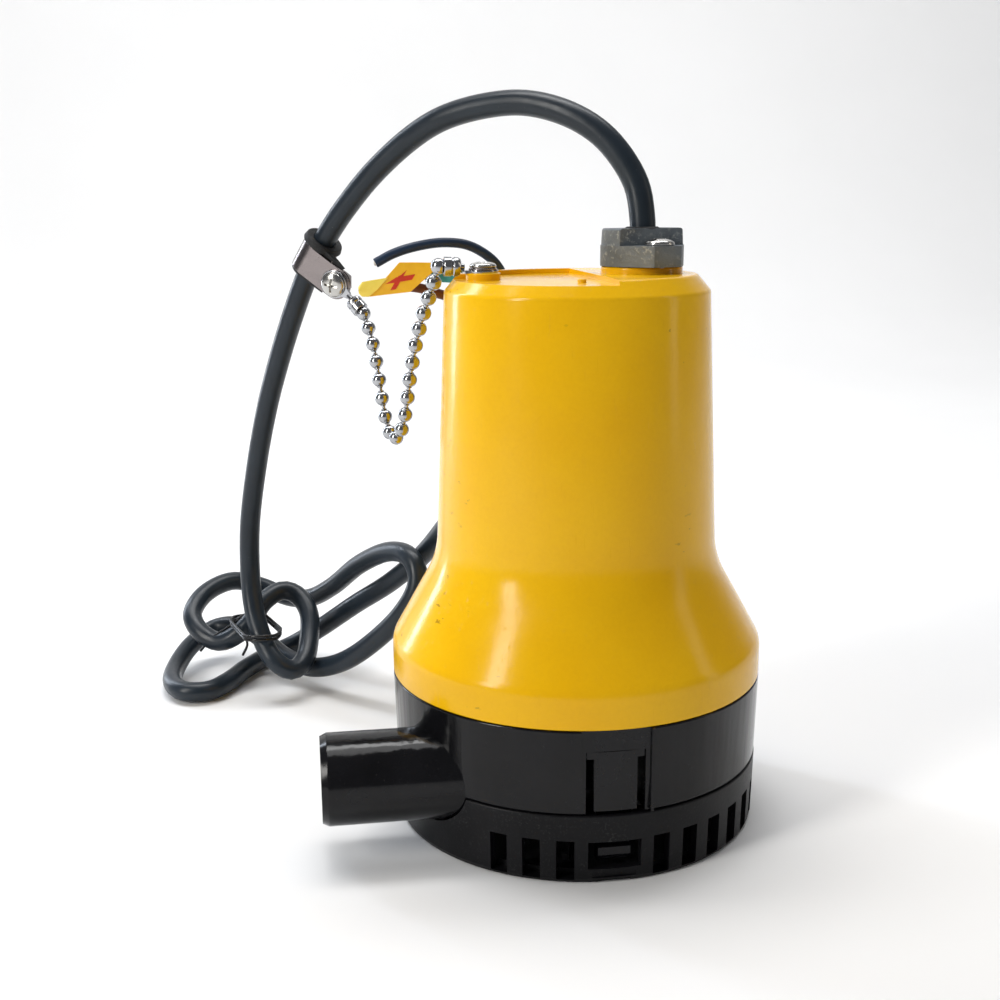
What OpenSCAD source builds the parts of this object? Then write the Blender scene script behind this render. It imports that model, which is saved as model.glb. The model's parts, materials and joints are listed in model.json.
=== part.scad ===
// Submersible bilge pump: clip-on strainer, volute casing, sealed motor housing,
// cable gland, tied supply cable and a ball chain that holds the cable clip.
// Millimetres, +Z up. The origin is on the pump's axis, on the floor under the strainer.
// The outlet points along -X. The release latches are at -Y and +Y.

/* [Housing] */
// Outer radius of the strainer, volute casing and housing skirt
body_r = 55; // [54.5:0.1:55.5]
// Height of the housing's flat top above the floor
body_h = 161; // [159:0.5:163]
// Radius of the motor barrel where it leaves the cone
barrel_r = 41.3; // [41:0.1:42]
// Radius of the motor barrel just under its top rim
barrel_top_r = 38; // [37.6:0.1:38.4]
// Wall of the yellow housing
wall = 3; // [2.6:0.1:3]

/* [Strainer] */
// Height of the strainer basket
strainer_h = 20; // [19.8:0.1:20]
// Wall of the strainer basket
strainer_wall = 2.5; // [2.2:0.1:2.6]
// Angle from one intake slot to the next
slot_pitch = 10; // [9:0.5:11]
// Width of an intake slot
slot_w = 5; // [4.5:0.1:5.4]

/* [Outlet] */
// Outer radius of the hose spigot, for 25 mm (1 inch) hose
spigot_r = 13; // [12.8:0.1:13.2]
// Bore radius of the hose spigot
spigot_bore_r = 11; // [10.5:0.1:11]
// Distance from the pump's axis to the spigot's tip
spigot_tip = 78; // [74:1:84]
// Sideways offset of the spigot from the pump's axis
spigot_offset = 25; // [24.7:0.1:25.3]
// Height of the spigot's axis
spigot_z = 22.9; // [22.7:0.1:23.1]

/* [Motor] */
// Radius of the motor shaft
shaft_r = 2.5; // [2.4:0.05:2.6]
// Outer radius of the motor can
can_r = 30; // [29.5:0.1:31]
// Outer radius of the wound armature
armature_r = 23.4; // [23:0.1:23.5]
// Outer radius of the impeller
impeller_r = 37; // [34:0.5:38]
// Vanes on the impeller
impeller_vanes = 6; // [4:1:7]

/* [Cable and chain] */
// Diameter of the supply cable
cable_d = 7.4; // [7.2:0.1:7.4]
// Diameter of each stripped lead
lead_d = 3; // [2.6:0.1:3]
// Diameter of one chain bead
bead_d = 4.6; // [4:0.1:4.7]
// Distance between chain beads
bead_pitch = 6.1; // [6:0.05:6.4]

/* [Hidden] */
$fn = 96;

// Heights and radii of the casing and the yellow housing
casing_z = strainer_h + 0.3;
casing_top = 44.4;
casing_recess_half = 9.5;
casing_recess_r = body_r - 1.2;
skirt_z = 44.5;
skirt_top = 54.5;
cone_top = 79;
cone_angle = atan((body_r - barrel_r) / (cone_top - skirt_top));
rim_z = body_h - 5;
rim_r = barrel_top_r - 4.5;
recess_depth = 1.4;
recess_x = 4;

// Spigot: chamfered tip, straight seat for the hose, slightly tapered root
spigot_chamfer = 2;
spigot_seat = 20;
spigot_end = 26;
spigot_root = spigot_tip - spigot_chamfer - spigot_seat - spigot_end;

// Pump chamber, and the screws that hold casing and housing together
floor_top = 23.2;
chamber_r = 42;
ledge_z = 41;
ledge_r = 46.2;
plate_top = 48;
casing_screw_r = 50.5;
casing_screw_angles = [50, 130, 240, 310];
eye_screw_r = 20.5;
eye_screw_angles = [30, 90, 270];
eye_r = 18;
suction_z = 17.8;
suction_r = 23.5;
suction_hole_r = 12;
impeller_z = 26.5;
impeller_disc_z = 33.5;
vane_h = 8.5;
nut_z = 23.3;
stud_r = 1.9;

// Strainer: floor, slots, latch windows and the lead-in channels above them
strainer_floor = 2.4;
strainer_in_r = body_r - 1 - strainer_wall;
slot_z = 0.9;
slot_h = 11.6;
window_half = 7.4;
window_z = 4.2;
window_h = 8;
channel_half = 5;
channel_z = 10;
slot_first = 14.4;
// Release latches: tongue, shoulders, hinge pin and the nose in the strainer's window
latch_half = 5.9;
latch_face_r = 54;
latch_back_r = 51.8;
latch_z = 21.2;
nose_half = 4.5;
nose_r = 48.6;
nose_z = 5.4;
nose_out = 4.4;
latch_shoulder_half = 7.9;
latch_shoulder_z = 36.2;
latch_shoulder_h = 2;
latch_hinge_z = 37;
latch_hinge_r = 52.2;
latch_pin_r = 1;
latch_pin_half = 9.2;
latch_pocket_r = 46.4;
latch_pocket_half = 8.2;

// Motor: can, end bell, magnets, armature, commutator, brushes and terminals
motor_screw_x = 16;
can_z = 52;
can_top = 140;
bell_top = 147;
bell_boss_r = 10.5;
magnet_z = 68;
magnet_h = 44;
magnet_angle = 130;
core_z = 72;
core_h = 36;
winding_r = 20.5;
winding_h = 8;
armature_slots = 10;
commutator_z = 117;
commutator_h = 14;
commutator_r = 9;
card_z = 121;
brush_z = 123.5;
terminal_x = 16;
terminal_y = 8;
terminal_z = 119;
lead_z = 148;
bearing_r = 8;
bearing_w = 5;
shaft_clear = 0.05;

// Cable gland and chain anchor on the top
gland_x = 19;
gland_z = 163;
gland_top = 173.5;
gland_ear_z = 168.8;
gland_ear_r = 10;
gland_ear_angle = -76;
gland_boss_r = 11.7;
grommet_r = 7.5;
anchor_x = -27;
recess_floor = body_h - recess_depth;
anchor_z = recess_floor + 2;
terminal_t = 0.8;
washer_t = 0.7;
anchor_shank_r = 1.9;

// The supply cable's path: up out of the gland, over in an arch, down through the clip,
// round the tied hank beside the pump, and up the back of the barrel to the stripped end.
cable_path = [
    [19, 0, 153], [19, 0, 164], [19, 0, 176], [17, 2, 187], [10, 6, 198], [1, 12, 205],
    [-10, 21, 209], [-21, 30, 209], [-33, 39, 206], [-43, 48, 200], [-54, 57, 190], [-63, 66, 179],
    [-69, 72, 170], [-74, 77, 161], [-79, 83, 149], [-85, 91, 132], [-91, 99, 112], [-96, 106, 90],
    [-100, 111, 66], [-101, 111, 46], [-100, 107, 32], [-97, 101, 22], [-93, 96, 16], [-87, 96, 12],
    [-82, 102, 14], [-80, 111, 20], [-80, 119, 27], [-84, 125, 32], [-90, 126, 34], [-97, 122, 31],
    [-102, 117, 25], [-108, 116, 20], [-115, 119, 17], [-122, 124, 20], [-125, 132, 25],
    [-120, 142, 30], [-110, 150, 32], [-99, 154, 28], [-88, 150, 24], [-79, 141, 26],
    [-70, 129, 34], [-60, 112, 47], [-50, 95, 56], [-43, 82, 57], [-41, 76, 49], [-47, 78, 37],
    [-58, 88, 23], [-69, 98, 13], [-80, 109, 8], [-90, 120, 9], [-99, 132, 13], [-108, 143, 15],
    [-118, 148, 13], [-127, 140, 9], [-132, 126, 5], [-132, 112, 4], [-127, 102, 4], [-118, 101, 4],
    [-111, 110, 4], [-105, 123, 4], [-97, 136, 4], [-86, 138, 8], [-75, 130, 17], [-62, 116, 30],
    [-49, 103, 42], [-38, 91, 55], [-31, 78, 68], [-25, 64, 82], [-20, 52, 97], [-17, 44, 113],
    [-16, 41, 128], [-16, 40, 144]
];
// The two stripped leads, from the sheath's end over the back of the rim.
lead_blue_path = [
    [-14, 40, 144], [-13, 42, 152], [-15, 42, 159], [-19, 40, 164], [-26, 39, 168], [-34, 38, 169],
    [-42, 38, 168], [-49, 38, 166], [-55, 38, 163]
];
lead_brown_path = [
    [-18, 40, 144], [-22, 41, 149], [-28, 39, 152], [-34, 36, 153], [-40, 35, 155], [-46, 35, 156],
    [-53, 36, 156], [-60, 37, 155]
];
// One internal lead, from its terminal up to the cable's end in the grommet
motor_lead_path = [
    [terminal_x, terminal_y, lead_z], [terminal_x, terminal_y, 149.6], [16.8, 6.4, 150.8],
    [18.2, 4, 151.1], [19, 2.2, 151.6], [19, 2.2, 153]
];
// The chain's path in its own hanging plane: distance along the plane, then height.
chain_start = [-39.5, 0];
chain_end = [-58, 60];
chain_profile = [
    [0, 163.6], [6, 156.4], [14, 147], [19, 139], [23, 131], [26, 123], [29, 115.5], [33, 110.5],
    [38, 108.5], [43, 110.5], [46.5, 116], [49, 123], [52, 131], [56, 139], [62.7, 146]
];
chain_span = norm(chain_end - chain_start);
chain_dir = (chain_end - chain_start) / chain_span;

// The clip's frame: where it grips the cable, the way its tail points, and its screw's axis.
clip_at = [-72.6, 75.6, 163.6];
clip_axis = unit([-74, 77, 161] - [-69, 72, 170]);
clip_tail = unit(cross(cross(clip_axis, [0.73, -0.33, -0.59]), clip_axis));
clip_face = cross(clip_axis, clip_tail);
clip_screw_x = 12.2;
band_w = 10.4;
band_t = 0.8;
band_gap = 0.2;
coupling_t = 0.8;
clip_shank_r = 2;
// Twist tie, chain couplings and the clip's band, cushion and label film
tie_at = [-100, 110, 25];
tie_angle = 108;
tie_span = 16;
tie_r = 6.8;
tie_wire_r = 0.55;
film_t = 0.6;
cup_r = 2.75;
barrel_l = 4;
stem_r = 0.9;
band_r = 6.1;
cushion_r = 5.3;

function unit(v) = v / norm(v);
function arc(x, y, r, from, to, steps) = [
    for (i = [0:steps]) let (a = from + (to - from) * i / steps) [x + r * cos(a), y + r * sin(a)]
];
function sum_to(v, n) = n <= 0 ? 0 : v[n - 1] + sum_to(v, n - 1);

// Lengths of a path's legs, and the point at a distance along it
function legs(p) = [for (i = [1:len(p) - 1]) norm(p[i] - p[i - 1])];
function leg_of(l, s, i = 0) = i >= len(l) - 1 || s <= l[i] ? i : leg_of(l, s - l[i], i + 1);
function point_at(p, s) =
    let (l = legs(p), i = leg_of(l, s), left = s - sum_to(l, i))
    p[i] + (p[i + 1] - p[i]) * min(left / l[i], 1);

// Frames carried along a path without twist, for sweeping a round section
function tangent(p, i) =
    i == 0 ? unit(p[1] - p[0])
    : i == len(p) - 1 ? unit(p[i] - p[i - 1])
    : unit(unit(p[i + 1] - p[i]) + unit(p[i] - p[i - 1]));
function side(t, v) = unit(v - t * (v * t));
function sides(p, v, i = 0) =
    let (s = side(tangent(p, i), v)) i == len(p) - 1 ? [s] : concat([s], sides(p, s, i + 1));

module tube(path, r, n) {
    s = sides(path, [0.3, 1, 0.2]);
    rings = [
        for (i = [0:len(path) - 1])
            let (t = tangent(path, i), u = s[i], v = cross(t, u))
            for (k = [0:n - 1]) path[i] + r * (u * cos(360 * k / n) + v * sin(360 * k / n))
    ];
    last = (len(path) - 1) * n;
    walls = [
        for (i = [0:len(path) - 2]) for (k = [0:n - 1])
            let (a = i * n + k, b = i * n + (k + 1) % n) each [[a, a + n, b], [b, a + n, b + n]]
    ];
    caps = [[for (k = [0:n - 1]) k], [for (k = [0:n - 1]) last + n - 1 - k]];
    polyhedron(rings, concat(walls, caps), convexity = 10);
}

module ring(r_out, r_in, z, h) {
    translate([0, 0, z])
        rotate_extrude() translate([r_in, 0]) square([r_out - r_in, h]);
}

// A round bar from point a to point b
module bar(a, b, r) {
    d = b - a;
    translate(a) rotate([0, acos(d.z / norm(d)), atan2(d.y, d.x)]) cylinder(r = r, h = norm(d));
}

// A pan-head screw pointing down: head on z = 0, shank below, cross recess on top
module pan_screw(head_r, head_h, shank_r, shank_l) {
    difference() {
        rotate_extrude() polygon(concat(
            [[0, 0], [head_r, 0], [head_r, head_h * 0.3]],
            [for (a = [20:20:80]) [head_r * (0.55 + 0.45 * cos(a)), head_h * (0.3 + 0.7 * sin(a))]],
            [[0, head_h]]
        ));
        for (a = [0, 90]) rotate(a)
            translate([-head_r * 0.55, -head_r * 0.11, head_h * 0.45])
                cube([head_r * 1.1, head_r * 0.22, head_h]);
    }
    translate([0, 0, -shank_l]) cylinder(r = shank_r, h = shank_l);
}

module at_angles(angles, r) {
    for (a = angles) rotate(a) translate([r, 0, 0]) children();
}

module in_clip() {
    multmatrix([
        [clip_tail.x, clip_face.x, clip_axis.x, clip_at.x],
        [clip_tail.y, clip_face.y, clip_axis.y, clip_at.y],
        [clip_tail.z, clip_face.z, clip_axis.z, clip_at.z]
    ]) children();
}

module at_gland_ears() {
    for (turn = [0, 180])
        translate([gland_x, 0, 0]) rotate(gland_ear_angle + turn) translate([gland_ear_r, 0, 0])
            children();
}

// ---------------------------------------------------------------- strainer

// Slots fan out from each latch: most of the ring away from the outlet, a few towards it
module intake_slots() {
    for (side = [-1, 1], away = [-1, 1], k = [0:away > 0 ? 7 : 2])
        rotate(side * (90 - away * (slot_first + k * slot_pitch)))
            translate([50, -slot_w / 2, slot_z]) cube([6, slot_w, slot_h]);
}

module strainer_base() {
    color("#242527") difference() {
        union() {
            rotate_extrude() polygon([
                [0, 0], [body_r - 1.6, 0], [body_r - 1, 0.6], [body_r - 0.5, strainer_h],
                [strainer_in_r, strainer_h], [strainer_in_r, strainer_floor], [0, strainer_floor]
            ]);
            for (a = [15:60:315]) rotate(a) translate([8.2, -1, 1.6]) cube([37, 2, 2.4]);
            ring(9, 7, 1.2, 3.4);
        }
        intake_slots();
        for (side = [-90, 90]) rotate(side) {
            translate([51, -window_half, window_z]) cube([6, 2 * window_half, window_h]);
            translate([48, -channel_half, channel_z]) cube([5.3, 2 * channel_half, 20]);
            translate([53.4, -6.2, 1.6]) cube([3, 12.4, 1.4]);
            translate([52.6, -4.6, -1]) cube([3, 9.2, 1.9]);
        }
        translate([-spigot_tip, -spigot_offset, spigot_z]) rotate([0, 90, 0])
            cylinder(r = spigot_r + 0.7, h = spigot_tip - 20);
    }
}

// ---------------------------------------------------------------- volute and yellow housing

module latch_pocket() {
    translate([latch_pocket_r, -latch_pocket_half, casing_z - 1])
        cube([12, 2 * latch_pocket_half, latch_shoulder_z + latch_shoulder_h + 0.4 - casing_z + 1]);
}

// The latch's hinge pin, along the tangent at its top
module latch_pin(r, half) {
    translate([latch_hinge_r, -half, latch_hinge_z]) rotate([-90, 0, 0]) cylinder(r = r, h = 2 * half);
}

module volute_casing() {
    color("#111214") difference() {
        union() {
            rotate_extrude() polygon([
                [0, casing_z], [body_r - 0.8, casing_z], [body_r - 0.4, casing_z + 0.4],
                [body_r, casing_top], [0, casing_top]
            ]);
            translate([-spigot_tip, -spigot_offset, spigot_z]) rotate([0, 90, 0]) {
                cylinder(r1 = spigot_r - 1, r2 = spigot_r, h = spigot_chamfer);
                translate([0, 0, spigot_chamfer]) cylinder(r = spigot_r, h = spigot_seat);
                translate([0, 0, spigot_chamfer + spigot_seat])
                    cylinder(r1 = spigot_r, r2 = spigot_r + 0.3, h = spigot_root);
            }
        }
        translate([0, 0, floor_top]) cylinder(r = chamber_r, h = 40);
        translate([0, 0, ledge_z]) cylinder(r = ledge_r, h = 40);
        translate([0, 0, casing_z - 1]) cylinder(r = eye_r, h = 10);
        translate([-spigot_tip - 1, -spigot_offset, spigot_z]) rotate([0, 90, 0])
            cylinder(r = spigot_bore_r, h = spigot_tip - spigot_end - 1);
        at_angles(casing_screw_angles, casing_screw_r) {
            translate([0, 0, casing_z - 1]) cylinder(r = 2.1, h = 40);
            translate([0, 0, casing_z - 1]) cylinder(r = 4.2, h = 4.7);
        }
        at_angles(eye_screw_angles, eye_screw_r) translate([0, 0, casing_z - 1]) cylinder(r = 1.2, h = 10);
        for (side = [-90, 90]) rotate(side) {
            latch_pocket();
            latch_pin(latch_pin_r + shaft_clear, latch_pin_half + 0.3);
            translate([casing_recess_r, -casing_recess_half, casing_z - 1])
                cube([3, 2 * casing_recess_half, 30]);
        }
    }
}

module housing_outline() {
    fillet_r = 25;
    fillet_t = fillet_r * tan(cone_angle / 2);
    edge_r = 6;
    edge_t = edge_r * tan(cone_angle / 2);
    polygon(concat(
        [[0, skirt_z], [body_r - 0.8, skirt_z], [body_r, skirt_z + 0.8]],
        arc(body_r - edge_r, skirt_top - edge_t, edge_r, 0, cone_angle, 4),
        arc(barrel_r + fillet_r, cone_top + fillet_t, fillet_r, 180 + cone_angle, 180, 6),
        [[barrel_top_r, rim_z]],
        arc(barrel_top_r - 1.6, rim_z + 0.5, 1.6, 12, 45, 2),
        arc(rim_r, body_h - 1.6, 1.6, 45, 90, 3),
        [[0, body_h]]
    ));
}

module housing_cavity() {
    polygon([
        [0, skirt_z - 1], [body_r - wall, skirt_z - 1], [body_r - wall, skirt_top - 1],
        [barrel_r - wall + 0.4, cone_top + 3], [barrel_top_r - wall, rim_z - 1],
        [barrel_top_r - wall - 3, body_h - 3.5], [0, body_h - 3.5]
    ]);
}

module top_recess() {
    translate([0, 0, recess_floor]) linear_extrude(recess_depth + 1) {
        intersection() {
            circle(r = 30);
            translate([-60, -60]) square([60 + recess_x, 120]);
        }
        translate([-60, -60]) square([60 + recess_x, 66]);
    }
}

module upper_housing() {
    color("#e3b01f") difference() {
        union() {
            difference() {
                rotate_extrude() housing_outline();
                rotate_extrude() housing_cavity();
                top_recess();
            }
            intersection() {
                rotate_extrude() housing_outline();
                at_angles(casing_screw_angles, casing_screw_r)
                    translate([0, 0, skirt_z]) cylinder(r = 4, h = 15);
            }
            ring(body_r - wall + 1, 44, plate_top, 2);
            translate([gland_x, 0, body_h - 4]) cylinder(r = gland_boss_r, h = 6);
            translate([anchor_x, 0, body_h - 12]) cylinder(r = 4, h = 9);
            translate([-3, -21, recess_floor - 0.5]) cylinder(r = 1.2, h = 1.7);
            translate([anchor_x, 0, recess_floor - 0.5]) cylinder(r = 5, h = anchor_z - recess_floor + 0.5);
        }
        at_angles(casing_screw_angles, casing_screw_r)
            translate([0, 0, skirt_z - 1]) cylinder(r = 2, h = 12.5);
        translate([gland_x, 0, body_h - 2.5]) cylinder(r = grommet_r, h = 10);
        translate([gland_x, 0, body_h - 10]) cylinder(r = 4.2, h = 12);
        at_gland_ears() translate([0, 0, body_h - 5]) cylinder(r = 1.6, h = 10);
        translate([anchor_x, 0, recess_floor - 9]) cylinder(r = anchor_shank_r, h = 12);
    }
}

module casing_screws() {
    color("#b9bdc0") at_angles(casing_screw_angles, casing_screw_r)
        translate([0, 0, 24]) mirror([0, 0, 1]) pan_screw(3.8, 2.6, 2, 31);
}

module suction_plate() {
    color("#1c1d1f") difference() {
        union() {
            translate([0, 0, suction_z]) cylinder(r = suction_r, h = casing_z - suction_z);
            translate([0, 0, casing_z]) cylinder(r = eye_r - 0.1, h = floor_top - casing_z + 0.6);
        }
        translate([0, 0, 10]) cylinder(r = suction_hole_r, h = 20);
        at_angles(eye_screw_angles, eye_screw_r) translate([0, 0, 10]) cylinder(r = 1.4, h = 20);
    }
}

module suction_plate_screws() {
    color("#b9bdc0") at_angles(eye_screw_angles, eye_screw_r)
        translate([0, 0, suction_z]) mirror([0, 0, 1]) pan_screw(2.4, 1.5, 1.2, 5);
}

module casing_o_ring() {
    color("#17181a") translate([0, 0, ledge_z + 1.2]) rotate_extrude()
        translate([44, 0]) circle(r = 1.2, $fn = 32);
}

module bulkhead_plate() {
    color("#2a2c30") difference() {
        translate([0, 0, ledge_z]) cylinder(r = 46, h = plate_top - ledge_z);
        ring(45.3, 42.7, ledge_z - 1, 3.4);
        translate([0, 0, ledge_z + 1]) cylinder(r = bearing_r, h = 20);
        translate([0, 0, ledge_z - 1]) cylinder(r = 3.5, h = 20);
        for (x = [-motor_screw_x, motor_screw_x]) translate([x, 0, 0]) {
            translate([0, 0, ledge_z - 1]) cylinder(r = 2.1, h = 20);
            translate([0, 0, ledge_z - 1]) cylinder(r = 4, h = 4);
        }
        ring(38, 22, ledge_z + 4, 20);
    }
}

module shaft_seal() {
    color("#1a1a1c") difference() {
        translate([0, 0, ledge_z + 1]) cylinder(r = bearing_r, h = 5.5);
        translate([0, 0, ledge_z]) cylinder(r = shaft_r + shaft_clear, h = 20);
        ring(6, 4, ledge_z + 3, 10);
    }
}

// ---------------------------------------------------------------- motor

module motor_screws() {
    color("#b9bdc0") for (x = [-motor_screw_x, motor_screw_x])
        translate([x, 0, ledge_z + 3]) mirror([0, 0, 1]) pan_screw(3.6, 2.4, 2, 10.5);
}

module motor_can() {
    color("#8b8f94") difference() {
        union() {
            translate([0, 0, can_z]) cylinder(r = can_r, h = can_top - can_z);
            for (x = [-motor_screw_x, motor_screw_x])
                translate([x, 0, plate_top]) cylinder(r = 5, h = can_z - plate_top);
        }
        difference() {
            translate([0, 0, can_z + 2]) cylinder(r = can_r - 2, h = 100);
            ring(bell_boss_r, bearing_r, can_z + 1, 2 + bearing_w);
        }
        translate([0, 0, can_z + 2]) cylinder(r = bearing_r, h = 100);
        translate([0, 0, can_z - 1]) cylinder(r = 4.5, h = 100);
        for (x = [-motor_screw_x, motor_screw_x]) translate([x, 0, plate_top - 1]) cylinder(r = 2, h = 10);
    }
}

module bearing(z) {
    translate([0, 0, z]) difference() {
        cylinder(r = bearing_r, h = bearing_w);
        translate([0, 0, -1]) cylinder(r = shaft_r + shaft_clear, h = bearing_w + 2);
        for (face = [-1, bearing_w - 0.5]) ring(6.3, 4.2, face, 1.5);
    }
}

module lower_bearing() { color("#c4c8cb") bearing(can_z + 2); }
module upper_bearing() { color("#c4c8cb") bearing(can_top); }

// The slots that both motor terminals stand in
module terminal_slots(z) {
    for (y = [-terminal_y, terminal_y]) translate([terminal_x - 0.6, y - 2.3, z]) cube([1.2, 4.6, 20]);
}

module motor_end_bell() {
    color("#3a3c40") difference() {
        union() {
            translate([0, 0, can_top]) cylinder(r = can_r, h = 3);
            translate([0, 0, can_top - 3]) cylinder(r = can_r - 2.05, h = 3);
            translate([0, 0, can_top]) cylinder(r = bell_boss_r, h = bell_top - can_top);
        }
        translate([0, 0, can_top - 4]) cylinder(r = bearing_r, h = 4 + bearing_w);
        translate([0, 0, can_top - 4]) cylinder(r = 6, h = 10);
        terminal_slots(can_top - 10);
    }
}

module field_magnets() {
    color("#4a4d50") for (turn = [0, 180]) rotate(turn) translate([0, 0, magnet_z])
        rotate(-magnet_angle / 2) rotate_extrude(angle = magnet_angle)
            translate([24.2, 0]) square([3.8, magnet_h]);
}

module brush_card() {
    color("#6b4a2b") difference() {
        ring(can_r - 2.05, 12, card_z, brush_z - card_z);
        terminal_slots(card_z - 6);
    }
}

module carbon_brushes() {
    color("#2b2b2b") for (turn = [90, 270]) rotate(turn) difference() {
        translate([8, -2.5, brush_z]) cube([10, 5, 5]);
        translate([0, 0, brush_z - 3]) cylinder(r = commutator_r + shaft_clear, h = 20);
    }
}

module brush_springs() {
    color("#c98a4a") for (turn = [90, 270]) rotate(turn) {
        translate([18, -2, brush_z]) cube([0.5, 4, 5]);
        translate([18, -2, brush_z]) cube([6, 4, 0.5]);
    }
}

module motor_terminals() {
    color("#c9a44c") for (y = [-terminal_y, terminal_y])
        translate([terminal_x - 0.4, y - 2, terminal_z]) cube([0.8, 4, lead_z - terminal_z]);
}

module motor_lead() {
    tube(motor_lead_path, 0.9, 8);
}

module motor_lead_positive() { color("#7a4526") motor_lead(); }
module motor_lead_negative() { color("#274a78") mirror([0, 1, 0]) motor_lead(); }

module motor_shaft() {
    color("#c8ccd0") union() {
        translate([0, 0, impeller_z]) cylinder(r = shaft_r, h = can_top + bearing_w - 0.5 - impeller_z);
        translate([0, 0, nut_z - 0.5]) cylinder(r = stud_r, h = impeller_z - nut_z + 0.8);
    }
}

module at_slots() {
    for (i = [0:armature_slots - 1]) rotate(360 / armature_slots * i) children();
}

module armature_core() {
    color("#6f7377") difference() {
        translate([0, 0, core_z]) cylinder(r = armature_r, h = core_h);
        translate([0, 0, core_z - 2]) cylinder(r = shaft_r, h = core_h + 4);
        at_slots() translate([0, 0, core_z - 2]) {
            translate([21.4, -1, 0]) cube([4, 2, core_h + 4]);
            translate([18, -2.6, 0]) cube([3.4, 5.2, core_h + 4]);
        }
    }
}

module armature_windings() {
    color("#b3622c") difference() {
        union() {
            at_slots() translate([18.2, -2.4, core_z - 1]) cube([3, 4.8, core_h + 2]);
            for (z = [core_z - winding_h, core_z + core_h])
                translate([0, 0, z]) cylinder(r = winding_r, h = winding_h);
        }
        translate([0, 0, core_z - 12]) cylinder(r = shaft_r, h = core_h + 24);
        for (z = [core_z - winding_h - 0.5, core_z + core_h + winding_h - 3.5]) ring(30, 17.5, z, 4);
    }
}

module commutator() {
    color("#b87333") difference() {
        translate([0, 0, commutator_z]) cylinder(r = commutator_r, h = commutator_h);
        translate([0, 0, commutator_z - 1]) cylinder(r = shaft_r, h = commutator_h + 2);
        at_slots() translate([8.2, -0.25, commutator_z + 2]) cube([2, 0.5, commutator_h - 1]);
    }
}

module thrust_washer() { color("#e8e4d8") ring(5, shaft_r, impeller_z + 9.7, 1.6); }

module impeller() {
    color("#25272a") difference() {
        union() {
            translate([0, 0, impeller_disc_z]) cylinder(r = impeller_r, h = 2);
            translate([0, 0, impeller_z]) cylinder(r = 6, h = 9.7);
            intersection() {
                translate([0, 0, impeller_z - 1]) cylinder(r = impeller_r, h = vane_h);
                for (i = [0:impeller_vanes - 1]) rotate(360 / impeller_vanes * i)
                    translate([18, 14, impeller_z - 1]) ring(23.9, 22, 0, vane_h);
            }
        }
        translate([0, 0, impeller_z - 6]) cylinder(r = shaft_r, h = 20);
        translate([0, 0, impeller_z - 2.5]) cylinder(r = 5.9, h = 2.5);
    }
}

module impeller_nut() {
    color("#c9a44c") difference() {
        translate([0, 0, nut_z]) cylinder(r = 4.6, h = 3.1, $fn = 6);
        translate([0, 0, nut_z - 3]) cylinder(r = stud_r, h = 10);
    }
}

// ---------------------------------------------------------------- gland and chain anchor

module cable_grommet() {
    color("#17181a") translate([gland_x, 0, 0])
        ring(grommet_r, cable_d / 2 + shaft_clear, body_h - 2.5, gland_z - body_h + 2.5);
}

module gland_cap() {
    color("#1d1e20") difference() {
        translate([gland_x, 0, gland_z]) union() {
            cylinder(r1 = 12, r2 = 11.4, h = gland_top - gland_z);
            hull() {
                cylinder(r = 11.9, h = gland_ear_z - gland_z, $fn = 48);
                for (turn = [0, 180]) rotate(gland_ear_angle + turn) translate([gland_ear_r, 0, 0])
                    cylinder(r = 4.9, h = gland_ear_z - gland_z, $fn = 32);
            }
        }
        at_gland_ears() {
            translate([0, 0, gland_ear_z]) cylinder(r = 4.9, h = 10);
            translate([0, 0, gland_z - 1]) cylinder(r = 1.6, h = 10);
        }
        translate([gland_x, 0, gland_z - 1]) cylinder(r = 3.9, h = 20);
    }
}

module gland_screws() {
    color("#d5d8da") at_gland_ears() translate([0, 0, gland_ear_z]) rotate(30)
        pan_screw(4.3, 2, 1.6, 11);
}

module chain_ring_terminal() {
    color("#c4c8cb") translate([anchor_x, 0, anchor_z]) difference() {
        union() {
            cylinder(r = 4.4, h = terminal_t);
            translate([-6, -2, 0]) cube([6, 4, terminal_t]);
        }
        translate([0, 0, -1]) cylinder(r = anchor_shank_r + shaft_clear, h = 4);
    }
}

module anchor_washer() {
    color("#c4c8cb") translate([anchor_x, 0, 0])
        ring(4, anchor_shank_r + shaft_clear, anchor_z + terminal_t, washer_t);
}

module anchor_screw() {
    color("#d5d8da") translate([anchor_x, 0, anchor_z + terminal_t + washer_t]) rotate(20)
        pan_screw(3.8, 1.6, anchor_shank_r, 11);
}

// The barrel that holds a chain's end bead: mouth towards the bead, stem towards its eyelet
module bead_cup(from, bead) {
    d = unit(bead - from);
    back = bead - d * (bead_d / 2 + barrel_l);
    difference() {
        union() {
            bar(back, bead - d * 1.4, cup_r);
            bar(from, back + d * 0.6, stem_r);
        }
        bar(bead - d * 3.6, bead + d * 5, bead_d / 2 + 0.15);
        translate(bead) sphere(r = bead_d / 2 + 0.3, $fn = 48);
    }
}

function chain_point(p) = [
    chain_start.x + chain_dir.x * p[0], chain_start.y + chain_dir.y * p[0], p[1]
];
chain_path = [for (p = chain_profile) chain_point(p)];
chain_first = chain_path[0];
chain_last = chain_path[len(chain_path) - 1];
chain_l = sum_to(legs(chain_path), len(chain_path) - 1);
bead_count = round(chain_l / bead_pitch);
beads = [for (i = [0:bead_count]) point_at(chain_path, chain_l * i / bead_count)];

module chain_coupling_anchor() {
    color("#c4c8cb") bead_cup([anchor_x - 5.2, 0, anchor_z + terminal_t + stem_r], chain_first);
}

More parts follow.
